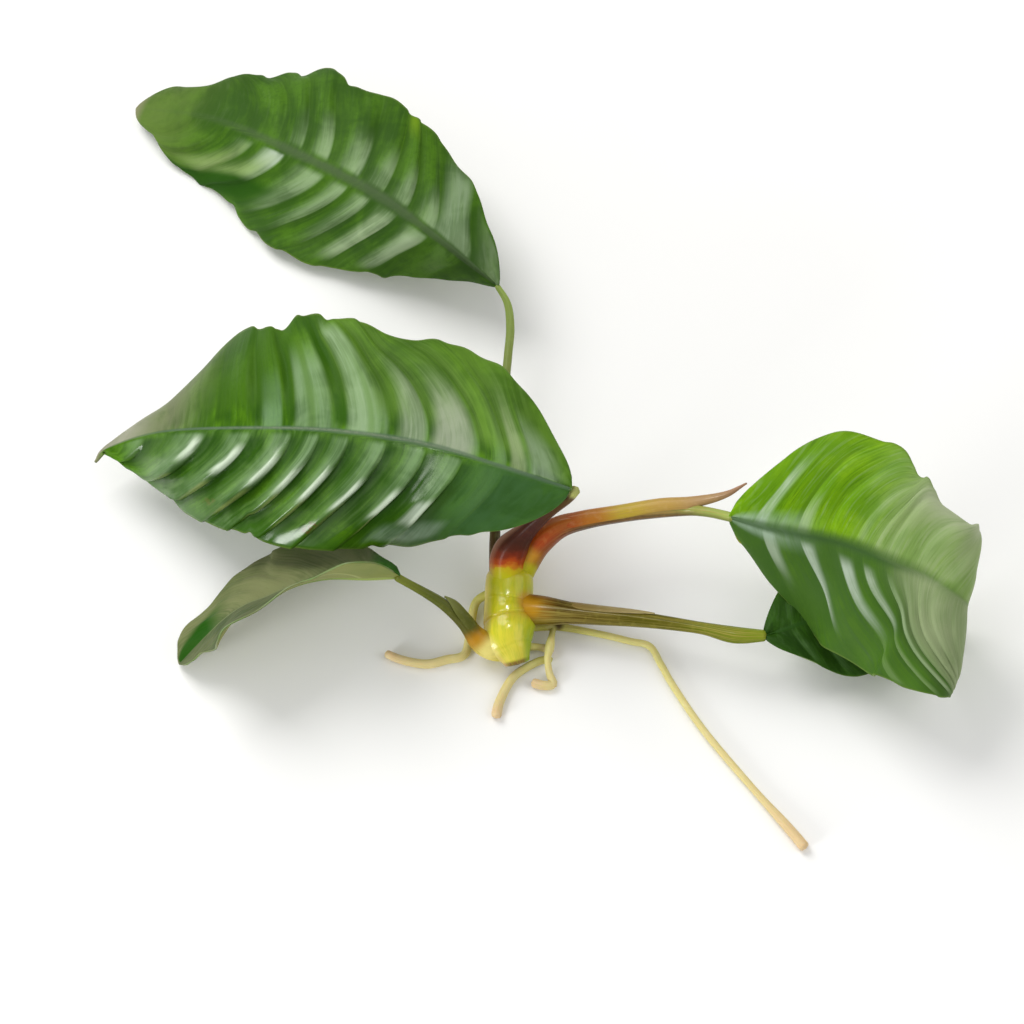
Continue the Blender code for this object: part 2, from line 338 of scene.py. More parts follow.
def halfMask(across, half):  # one on the far or the near half of a blade, or on both
    if half == "both":
        return 1.0
    return between(across, -0.03, 0.03, *((0.0, 1.0) if half == "far" else (1.0, 0.0)))


def tint(half, color, amount, **spans):  # a patch of colour within windows of side, along and ribs; some are the leaf's own tone, others painted sheen, glints and shade
    return {"half": half, "color": color, "amount": amount, **spans}


def bladeTopMaterial(name, leaf):
    material, shader = newMaterial(name)
    own, (ribs, across, share) = ownPlace(shader)
    place = objectPlace(shader)
    look = {**bladeLook, **leaf["look"]}
    side = mathNode("ABSOLUTE", across)
    part = mathNode("FRACT", ribs)  # 0 just past a groove, 1 at the next one
    streaks = noiseOf(stretched(own, bladeGrain["streakStretch"]), 1.0)
    veins = noiseOf(stretched(own, bladeGrain["veinStretch"]), 1.0, distortion=0.5)
    broad = noiseOf(place, bladeGrain["broad"], 3.0, 0.55, 0.6)
    mottle = noiseOf(place, bladeGrain["mottle"], 2.0, 0.65)
    fine = noiseOf(place, bladeGrain["fine"], 2.0, 0.6)
    broadPart = mathNode("MULTIPLY", broad, 0.65)
    blend = mathNode("MULTIPLY_ADD", streaks, 0.35, broadPart)
    patchy = mathNode("MULTIPLY_ADD", veins, 0.35, broadPart)

    layers = [
        (between(blend, 0.4, 0.62), look["freshGreen"]),
        (between(veins, 0.5, 0.75, 0.0, leaf["veinLight"]), look["sheenGreen"]),
        (between(veins, 0.48, 0.28, 0.0, leaf["veinDark"]), look["grooveGreen"]),
    ]
    # painted shade in the grooves: darker just past each groove and again before the next, with its own strength on
    # each half
    before = between(part, leaf["grooveFrom"], 0.98)
    groove = mathNode("ADD", between(part, 0.0, 0.06, 1.0, 0.0), before, clamp=True)
    groove = times(groove, between(side, 0.02, 0.12), between(side, 0.75, 1.0, 1.0, 0.4))
    for half in ("far", "near"):
        layers.append((times(groove, halfMask(across, half), leaf[half + "Dark"]), look["grooveGreen"]))
    layers.append((between(mottle, 0.45, 0.72, 0.0, 0.38), look["deepGreen"]))

    # painted sheen: pale colour on each crest, in wedges
    outer = mathNode("MULTIPLY_ADD", side, leaf["wedge"], part)  # wedges narrow toward the margin
    crest = between(outer, 0.25, leaf["sheenRun"], 1.0, 0.0)
    crest = times(between(part, 0.0, 0.12), crest)
    for half, span, amount, reach in leaf["sheen"]:
        pale = times(crest, halfMask(across, half), window(side, span), window(share, reach))
        pale = times(pale, between(patchy, 0.34, 0.58, 0.4 * amount, amount))
        layers.append((pale, look["sheenGreen"]))
    for patch in leaf["tints"]:
        mask = times(halfMask(across, patch["half"]), window(side, patch.get("side", (0, 0, 1, 1))))
        if "along" in patch:
            mask = times(mask, window(share, patch["along"]))
        if "ribs" in patch:
            later = mathNode("MULTIPLY_ADD", side, patch.get("wedge", 0.0), ribs)
            mask = times(mask, window(ribs, patch["ribs"], later))
        if patch.get("specks", False):
            mask = times(mask, between(mottle, 0.48, 0.58))
        least = patch["amount"] * (1 - patch.get("patchy", 0.5))
        mask = times(mask, between(patchy, 0.36, 0.58, least, patch["amount"]))
        layers.append((mask, patch["color"]))

    if "edgeLine" in leaf:  # thin pale lines along the crests
        line = times(window(part, (0.02, 0.04, 0.07, 0.11)), window(side, (0.5, 0.6, 0.78, 0.9)))
        line = times(line, halfMask(across, "near"), window(share, (0.3, 0.4, 0.8, 0.9)))
        line = times(line, between(streaks, 0.35, 0.6, 0.3, 0.8))
        layers.append((line, leaf["edgeLine"]))
    if "paintedGleam" in leaf:  # painted wet gleams: highlights laid into the colour, nearer the midrib toward the tip
        paintedGleamAt = mathNode("MULTIPLY_ADD", share, 0.8, side)
        paintedGleam = times(window(paintedGleamAt, (0.62, 0.76, 0.92, 1.06)), window(part, (0.03, 0.06, 0.13, 0.26)))
        paintedGleam = times(paintedGleam, halfMask(across, "near"), window(share, (0.22, 0.3, 0.74, 0.82)))
        paintedGleam = times(paintedGleam, between(streaks, 0.4, 0.56, 0.15, 0.8))
        layers.append((paintedGleam, leaf["paintedGleam"]))
    bandWidth = between(share, 0.0, 0.9, leaf["band"], leaf["bandEnd"])
    wander = mathNode("MULTIPLY_ADD", broad, 0.8, 0.6)
    inside = times(wander, mathNode("DIVIDE", side, bandWidth))
    band = between(mathNode("SUBTRACT", 1.0, inside, clamp=True), 0.0, 0.9)
    fade = between(share, *leaf["bandEnds"], 0.75, 0.1)
    layers.append((times(band, fade), look["midribGreen"]))
    if "ridgeLine" in leaf:  # the thin raised line of the midrib
        ridge = times(between(side, 0.003, 0.012, 0.5, 0.0), window(share, (0.1, 0.3, 0.55, 0.8)))
        layers.append((times(ridge, between(mottle, 0.35, 0.6, 0.4, 1.0)), leaf["ridgeLine"]))
    layers.append((mathNode("MULTIPLY", between(side, 0.98, 1.0), 0.5), look["marginGreen"]))
    layers.append((between(share, leaf["tanFrom"], 1.0, 0.0, 0.8), look["tipTan"]))

    feed(shader, {
        "Base Color": layered(look["deepGreen"], layers),
        "Roughness": mathNode("MULTIPLY_ADD", mottle, 0.14, look["roughness"] - 0.07),
        "Coat Roughness": look["coatRoughness"],
        "Specular IOR Level": look["specular"],
    })
    if "wetHalf" in leaf:
        wet = times(halfMask(across, leaf["wetHalf"]), window(share, (0.2, 0.36, 0.86, 0.93)))
        feed(shader, {"Coat Weight": times(wet, between(blend, 0.36, 0.56))})
    addBump(shader, [
        (veins, bladeGrain["veinDepth"], leaf["veinRelief"]), (fine, bladeGrain["fineDepth"], 0.5),
    ])
    return material


def bladeUnderMaterial(name, leaf):
    material, shader = newMaterial(name)
    own, parts = ownPlace(shader)
    look = {**bladeLook, **leaf["look"]}
    phase = mathNode("PINGPONG", parts[0], 0.5)  # of the ribs
    side = mathNode("ABSOLUTE", parts[1])
    broad = noiseOf(objectPlace(shader), bladeGrain["underBroad"], 3.0, 0.55, 0.4)
    vein = times(between(phase, 0.0, 0.07, 1.0, 0.0), between(side, 0.85, 0.98, 0.7, 0.0))
    green = layered(look["underGreen"], [
        (between(broad, 0.3, 0.7, 0.0, 0.4), look["freshGreen"]),
        (vein, look["underVein"]),
        (between(side, 0.02, 0.06, 0.9, 0.0), look["underVein"]),
    ])
    feed(shader, {
        "Base Color": green, "Roughness": look["underRoughness"], "Specular IOR Level": look["underSpecular"],
    })
    streaks = noiseOf(stretched(own, bladeGrain["underStretch"]), 1.0, 3.0, 0.6)
    addBump(shader, [
        (streaks, bladeGrain["underStreakDepth"], 0.5), (vein, bladeGrain["underVeinDepth"], 0.6),
    ])
    return material


def bladeRimMaterial(name, leaf):
    material, shader = newMaterial(name)
    look = {**bladeLook, **leaf["look"]}
    patches = between(noiseOf(objectPlace(shader), bladeGrain["rim"]), 0.35, 0.65)
    tone = layered(look["marginGreen"], [(patches, look["rimGreen"])])
    feed(shader, {"Base Color": tone, "Roughness": look["rimRoughness"]})
    return material


print("stage: blades")


def halfWidth(at, leaf):
    widest = leaf["base"] / (leaf["base"] + leaf["tip"])
    at = np.clip(at, 0, 1)
    return leaf["width"] / 2 * (at / widest) ** leaf["base"] * ((1 - at) / (1 - widest)) ** leaf["tip"]


def foldedOver(points, fold):  # whatever lies beyond the line wraps round and hangs down
    axis = unitOf(np.array(fold["axis"]))
    ahead = unitOf(np.array(fold["ahead"]) - axis * np.dot(fold["ahead"], axis))
    up = np.cross(ahead, axis)
    offset = points - np.array(fold["line"])
    beyond, height, sideways = offset @ ahead, offset @ up, offset @ axis
    most = np.radians(fold["angle"])
    angle = np.clip(beyond / fold["radius"], 0, most)
    rest = np.maximum(beyond - fold["radius"] * most, 0)
    reach = np.where(beyond < 0, beyond, np.sin(angle) * (fold["radius"] + height) + rest * np.cos(most))
    rise = np.cos(angle) * (fold["radius"] + height) - fold["radius"] - rest * np.sin(most)
    return np.array(fold["line"]) + np.outer(reach, ahead) + np.outer(rise, up) + np.outer(sideways, axis)


def ribNumber(grooves, along):  # whole at each groove, and running on evenly past both ends
    known = np.concatenate([[-0.08], grooves, [1.08]])
    return np.interp(along, known, np.arange(len(known)) - 1.0)


def bladePlacing(leaf):
    def placing(along, across):
        side = np.abs(across)
        far = across >= 0

        def perHalf(key, at):  # a smooth value along the blade, with its own list for each half
            return np.where(far, smoothCurve(leaf["far" + key], at), smoothCurve(leaf["near" + key], at))

        share = 1 - (1 - along) ** (1 + perHalf("Sweep", along) * side**1.8)
        middle = routeAt(leaf["route"], share)
        run = runAt(leaf["route"], share)
        farWay = unitOf(np.cross(run, facing) * leaf["farSide"])
        toward = unitOf(np.cross(farWay, run) * leaf["farSide"])
        hand = np.where(far, 1.0, -1.0)[:, None]
        station = 2 / np.pi * np.arcsin(np.sqrt(np.clip(share, 0, 1)))
        lean = np.radians(perHalf("Lean", station))[:, None]
        outward = hand * farWay * np.cos(lean) + toward * np.sin(lean)
        above = toward * np.cos(lean) - hand * farWay * np.sin(lean)
        width = halfWidth(share, leaf) * (1 + (perHalf("Edge", share) - 1) * side**1.5)
        ends = np.clip(6 * share, 0, 1) * np.clip(5 * (1 - share), 0, 1)
        arch = leaf["arch"] * width * 4 * side * (1 - side)
        # each rib climbs steeply on its base side and falls away gently to the tip side
        ribs = np.where(far, ribNumber(leaf["farGrooves"], along), ribNumber(leaf["nearGrooves"], along))
        crestAt = np.where(far, leaf["farCrest"], leaf["nearCrest"])
        sharp = np.where(far, 0.0, leaf["nearSharp"])
        past = np.mod(ribs, 1.0)
        climb = np.where(past < crestAt, past / crestAt, (1 - past) / (1 - crestAt))
        crest = (1 - sharp) * (0.5 - 0.5 * np.cos(np.pi * climb)) + sharp * climb**1.4
        spread = np.clip((side - 0.02) / leaf["ribStart"], 0, 1) ** 1.3
        spread = spread * (1 - (1 - leaf["ribAtEdge"]) * np.clip((side - 0.5) / 0.5, 0, 1) ** 1.5)
        wobble = 0.85 + 0.15 * np.sin(2.7 * ribs + 2.0 * hand[:, 0])
        rise = perHalf("RibHeight", along) * crest * spread * wobble
        midrib = leaf["midrib"] * np.exp(-((side / 0.03) ** 2)) * (1 - along)
        width = width + leaf["scallop"] * (crest - 0.5) * side**5 * ends
        lobes = np.where(far, bumpsAt(leaf["farBumps"], share), bumpsAt(leaf["nearBumps"], share))
        width = width + lobes * side**4
        if "drip" in leaf:  # the blade gives way to a thin thread at its tip
            keep = np.clip((leaf["drip"] - share) / 0.03, 0, 1) ** 0.7
            width = width * keep + 0.3 * (1 - keep) * np.clip(60 * (1 - share), 0, 1)
        waves = leaf["rippleCount"] * share + 0.3 * hand[:, 0]
        ripple = leaf["ripple"] * side**3 * ends * np.sin(2 * np.pi * waves)
        lap = 0.35 * rise * side  # crests lean back over their grooves
        points = middle + outward * (width * side)[:, None]
        points = points + above * (arch + rise + midrib + ripple)[:, None] - run * lap[:, None]
        if "fold" in leaf:
            points = foldedOver(points, leaf["fold"])
        return points, np.stack([ribs, across, share], axis=1)

    return placing


def makeBlade(name, own):
    leaf = {**bladeBasics, **own}
    turned = leaf["farSide"] < 0  # keeps the upper face up
    piece = wrapGrid(
        name + "_blade", leaf["columns"], leaf["rows"], bladePlacing(leaf), lowest["blade"], turned=turned
    )
    wall = addWall(piece, leaf["thickness"])
    wall.material_offset = 1
    wall.material_offset_rim = 2
    looks = [
        bladeTopMaterial(name + "_top", leaf), bladeUnderMaterial(name + "_under", leaf),
        bladeRimMaterial(name + "_rim", leaf),
    ]
    settle(piece, [name], looks)
    print("  blade:", name)


# Routes run from base to tip, in millimetres. The far half of a blade is the one farther up the picture. A window
# holds where a patch starts, is full, is still full and ends: "along" as a share of the blade, "ribs" counted in
# grooves, "side" from 0 at the midrib to 1 at the margin. An "Edge" list scales the half's width along the blade.
evenGrooves = [0.15, 0.28, 0.41, 0.54, 0.67, 0.8]
leafUpper = {
    "route": [
        (-2, 63.6, 13.3), (-12.3, 71.3, 16.3), (-23, 80.4, 16.8), (-38, 91.6, 14.3), (-54.5, 103.5, 9.3),
        (-70.2, 111.7, 2.3),
    ],
    "width": 35, "base": 0.8, "tip": 0.6, "farSide": 1, "arch": 0.06, "farLean": [-10, -15, -29, -21, -30, -33, -33],
    "nearLean": [-62, -61, -41, -19, -21, 3, 5],
    "farEdge": [
        1.26, 1.26, 1.175, 1.235, 1.21, 1.145, 1.175, 1.15, 1.08, 1.065, 0.995, 1.005, 1.085, 1.1, 0.97, 0.795, 0.83,
        0.585, 0.6, 0.8, 0.9,
    ],
    "nearEdge": [
        1, 1.014, 1.187, 1.136, 1.092, 1.132, 1.069, 1.071, 1.08, 1.066, 1.019, 1.017, 1.004, 0.969, 0.866, 0.855,
        0.907, 0.842, 0.732, 0.55, 0.7,
    ],
    "farBumps": [
        (0.45, 0.05, 0.9), (0.555, 0.014, -0.6), (0.678, 0.014, -1.4), (0.72, 0.012, 0.7), (0.757, 0.01, 0.6),
        (0.8, 0.03, -0.6),
    ],
    "nearBumps": [
        (0.7, 0.12, -1), (0.82, 0.02, -0.7), (0.675, 0.012, -0.6), (0.59, 0.02, -0.6), (0.12, 0.03, -0.5),
        (0.246, 0.012, 0.5), (0.932, 0.01, -0.8),
    ],
    "farSweep": [1.6, 1, 0.3, 0.5, 0.45, 0.15, 0.15], "nearSweep": [0.7, 0.75, 0.75, 0.9, 0.9, 1.2, 1.2],
    "farGrooves": [0.075, 0.172, 0.25, 0.315, 0.38, 0.465, 0.535, 0.6, 0.7, 0.82],
    "nearGrooves": [0.09, 0.175, 0.258, 0.33, 0.39, 0.45, 0.56, 0.65, 0.74, 0.84],
    "farRibHeight": [0.4, 0.8, 0.8, 0.7, 0.3, 0.15, 0], "nearRibHeight": [0.1, 0.7, 0.9, 0.8, 0.9, 0.5, 0],
    "farCrest": 0.28, "nearCrest": 0.25, "ribAtEdge": 0.15, "midrib": 0.12, "scallop": 0.3, "ripple": 0.3,
    "rippleCount": 5, "columns": 64, "rows": 340, "tanFrom": 0.97, "band": 0.115, "bandEnd": 0.06,
    "bandEnds": (0.5, 0.9), "wedge": 0.55, "farDark": 0.45, "nearDark": 0.35, "veinLight": 0.04, "veinDark": 0.15,
    "veinRelief": 0.1, "sheenRun": 0.95,
    "sheen": [
        ("far", (0.04, 0.12, 0.3, 0.66), 0.7, (-1, -1, 0.5, 0.62)),
        ("near", (0.05, 0.14, 0.5, 0.92), 0.75, (0.1, 0.2, 0.62, 0.74)),
    ],
    "tints": [
        tint("both", (0.11, 0.175, 0.035), 0.75, along=(0.74, 0.95, 1, 1)),
        # painted sheen: the pale grey-green patches that follow, in wedges near the midrib
        tint("far", (0.25, 0.34, 0.2), 0.7, side=(0.05, 0.15, 0.85, 1.1), ribs=(0.05, 0.3, 0.8, 1.3), wedge=0.4),
        tint("far", (0.23, 0.31, 0.17), 0.5, side=(0.05, 0.15, 0.9, 1), ribs=(-0.95, -0.6, -0.35, 0)),
        tint("near", (0.36, 0.46, 0.28), 0.7, side=(0.12, 0.3, 0.82, 0.98), ribs=(1, 1.15, 1.35, 1.75), wedge=0.2),
        tint("near", (0.36, 0.46, 0.27), 0.75, side=(0.12, 0.25, 0.75, 0.95), ribs=(2, 2.1, 2.4, 2.8), wedge=0.2),
        tint("near", (0.42, 0.5, 0.4), 0.8, side=(0.05, 0.09, 0.14, 0.34), ribs=(6.05, 6.12, 6.3, 6.8)),
        tint("near", (0.26, 0.36, 0.13), 0.6, side=(0.06, 0.14, 0.5, 0.8), ribs=(6.05, 6.35, 5.7, 6.6), wedge=-1.6),
        tint("near", (0.28, 0.37, 0.14), 0.65, side=(0.08, 0.16, 0.5, 0.85), ribs=(7, 7.2, 6.6, 7.4), wedge=-1.2),
        tint("near", (0.016, 0.066, 0.002), 1, side=(0.34, 0.52, 0.97, 1.1), ribs=(5, 5.7, 5.2, 5.9), wedge=-2,
             patchy=0.1),
        tint("far", (0.21, 0.35, 0.01), 0.5, side=(0.74, 0.98, 1, 1), ribs=(2, 2.5, 2.6, 3.1)),
    ],
    "look": {
        "deepGreen": (0.03, 0.084, 0.007), "freshGreen": (0.062, 0.155, 0.009), "grooveGreen": (0.022, 0.066, 0.004),
        "midribGreen": (0.066, 0.104, 0.044), "sheenGreen": (0.29, 0.4, 0.215), "roughness": 0.5,
    },
}
makeBlade("leaf_upper", leafUpper)

leafFront = {
    "route": [
        (10, 12, 30), (-1.5, 15.5, 31.5), (-14.5, 20.5, 30.5), (-29.5, 24.5, 28), (-45, 28, 23), (-59.5, 31.8, 15.5),
        (-69.2, 32.7, 8.8), (-71.6, 31, 7),
    ],
    "width": 40.5, "base": 0.62, "tip": 0.8, "farSide": 1, "arch": 0.06, "drip": 0.972,
    "farLean": [-31, -31, -29, -21, -36, -69, -70], "nearLean": [-33, -33, -35, -5, -3, -12, -25],
    "farEdge": [
        1.05, 1.095, 1.075, 1.07, 1.1, 1.03, 1.015, 0.965, 0.9, 0.975, 1.02, 1.085, 1.015, 1.11, 1.245, 1.33, 1.1,
        0.78, 0.86, 0.78, 0.3,
    ],
    "nearEdge": [
        1.03, 1.028, 0.998, 0.957, 0.976, 0.993, 1.02, 0.964, 0.971, 0.979, 0.997, 0.986, 0.992, 0.958, 0.97, 1.001,
        1.048, 1.022, 0.98, 0.62, 0.3,
    ],
    "farBumps": [
        (0.05, 0.04, -1.2), (0.18, 0.03, -0.5), (0.275, 0.02, 0.6), (0.35, 0.02, -0.7), (0.44, 0.03, 0.4),
        (0.512, 0.012, -1.1), (0.578, 0.009, 0.9), (0.6, 0.012, -0.6), (0.66, 0.03, -0.5), (0.8, 0.025, -0.8),
        (0.87, 0.03, 0.4),
    ],
    "nearBumps": [
        (0.95, 0.02, 0.8), (0.83, 0.02, -0.5), (0.7, 0.06, 0.7), (0.622, 0.01, -0.9), (0.56, 0.05, 0.5),
        (0.374, 0.01, -0.5), (0.32, 0.1, 0.35), (0.17, 0.02, 0.6),
    ],
    "farSweep": [2.6, 1.5, 0.65, 0.3, 0.15, 0.2, 0.3], "nearSweep": [0.9, 0.9, 0.78, 0.72, 0.9, 1, 1],
    "farGrooves": [0.062, 0.12, 0.172, 0.272, 0.345, 0.44, 0.54, 0.61, 0.7, 0.81],
    "nearGrooves": [0.12, 0.2, 0.272, 0.348, 0.42, 0.478, 0.532, 0.615, 0.712, 0.86],
    "farRibHeight": [0.5, 0.9, 1, 1.2, 0.9, 0.6, 0], "nearRibHeight": [0, 0.8, 2.1, 2.3, 2.3, 1.8, 0.3],
    "farCrest": 0.3, "nearCrest": 0.09, "nearSharp": 0.8, "ribStart": 0.4, "ribAtEdge": 0.15, "scallop": 0.35,
    "ripple": 0.2, "rippleCount": 6, "columns": 68, "rows": 420, "wetHalf": "near", "tanFrom": 0.96, "band": 0.035,
    "wedge": 0.35, "farDark": 0.65, "nearDark": 0.8, "grooveFrom": 0.45, "veinDark": 0.4, "veinRelief": 0.4,
    "ridgeLine": (0.2, 0.24, 0.15), "edgeLine": (0.33, 0.4, 0.12), "paintedGleam": (0.64, 0.74, 0.58),
    "sheen": [
        ("far", (0, 0, 0.3, 0.9), 0.35, (-1, -1, 0.4, 0.5)),
        ("near", (0.02, 0.08, 0.45, 0.85), 0.55, (0.1, 0.25, 0.85, 0.95)),
    ],
    "tints": [
        tint("near", (0.042, 0.112, 0.034), 0.75, ribs=(-2, -2, 0.3, 1.2)),
        # a dark patch painted as the shade of a hollow, with a painted glint beside it
        tint("near", (0.022, 0.07, 0.003), 0.85, side=(0.28, 0.42, 0.68, 0.8), ribs=(0.65, 0.8, 1.03, 1.1)),
        tint("near", (0.56, 0.64, 0.52), 0.85, side=(0.48, 0.58, 0.7, 0.8), ribs=(1.05, 1.12, 1.3, 1.5)),
        # painted sheen near the margin at the base
        tint("near", (0.26, 0.37, 0.25), 0.7, side=(0.72, 0.84, 0.9, 0.97), ribs=(0.2, 0.5, 1.4, 1.8)),
        tint("near", (0.04, 0.125, 0.006), 0.7, side=(0.82, 0.95, 1, 1), ribs=(1.9, 2.3, 9, 9)),
        tint("far", (0.135, 0.255, 0.035), 0.5, side=(0.1, 0.3, 1, 1), along=(-1, -1, 0.45, 0.6)),
        # painted sheen: the pale grey-green wedges of the far half below; the near-black strips at whole rib numbers
        # among them are painted shade in the grooves
        tint("far", (0.28, 0.37, 0.24), 0.6, side=(0, 0.05, 0.4, 0.8), ribs=(-0.4, -0.1, 0.1, 0.3)),
        tint("far", (0.29, 0.35, 0.19), 0.6, side=(0, 0, 0.35, 0.9), ribs=(0.3, 0.5, 0.8, 1), wedge=0.3),
        tint("far", (0.15, 0.29, 0.03), 0.3, side=(0.1, 0.3, 0.6, 0.9), ribs=(1.2, 1.4, 1.8, 1.97)),
        tint("far", (0.32, 0.36, 0.26), 0.8, side=(0, 0, 0.25, 0.75), ribs=(2.05, 2.3, 2.8, 3.1), wedge=0.5),
        tint("far", (0.3, 0.365, 0.24), 0.75, side=(0, 0, 0.25, 0.85), ribs=(3.03, 3.2, 3.6, 4), wedge=0.5),
        tint("far", (0.05, 0.13, 0.005), 0.6, side=(0.1, 0.2, 0.8, 1), ribs=(3.85, 3.95, 4.05, 4.15)),
        tint("far", (0.285, 0.4, 0.225), 0.8, side=(0, 0, 0.8, 1), ribs=(4.15, 4.45, 4.75, 4.97), wedge=0.12),
        tint("far", (0.09, 0.2, 0.02), 0.5, side=(0, 0, 0.5, 0.8), ribs=(4.3, 4.38, 4.42, 4.52)),
        tint("far", (0.026, 0.09, 0.002), 0.95, side=(0.02, 0.1, 0.9, 1), ribs=(4.85, 4.95, 5.06, 5.2), wedge=-0.15),
        tint("far", (0.225, 0.335, 0.18), 0.7, side=(0, 0, 0.45, 0.8), ribs=(5.15, 5.28, 5.85, 5.97), wedge=0.1),
        tint("far", (0.07, 0.16, 0.01), 0.6, side=(0, 0, 0.7, 0.9), ribs=(5.45, 5.55, 5.6, 5.72)),
        tint("far", (0.026, 0.09, 0.002), 0.9, side=(0.02, 0.1, 0.9, 1), ribs=(5.9, 6, 6.1, 6.25)),
        tint("far", (0.19, 0.3, 0.18), 0.5, side=(0, 0, 0.3, 0.6), ribs=(6.2, 6.3, 6.7, 6.95)),
        tint("far", (0.04, 0.108, 0.006), 0.75, side=(0.1, 0.3, 1, 1), along=(0.52, 0.62, 0.74, 0.8)),
        # grey-beige toward the tip, partly the drying tip's own colour and partly painted sheen
        tint("far", (0.19, 0.2, 0.115), 0.75, along=(0.7, 0.84, 1, 1)),
        tint("far", (0.34, 0.33, 0.26), 0.75, along=(0.83, 0.93, 1, 1)),
        tint("near", (0.12, 0.075, 0.015), 0.9, side=(0.74, 0.78, 0.84, 0.88), ribs=(3, 3.08, 3.2, 3.4), specks=True),
        tint("near", (0.11, 0.105, 0.012), 0.5, side=(0.7, 0.74, 0.78, 0.82), ribs=(6.25, 6.35, 6.5, 6.65),
             specks=True),
    ],
    "look": {
        "deepGreen": (0.028, 0.092, 0.002), "freshGreen": (0.075, 0.195, 0.004), "grooveGreen": (0.012, 0.05, 0.002),
        "sheenGreen": (0.24, 0.36, 0.19),
    },
}
makeBlade("leaf_front", leafFront)

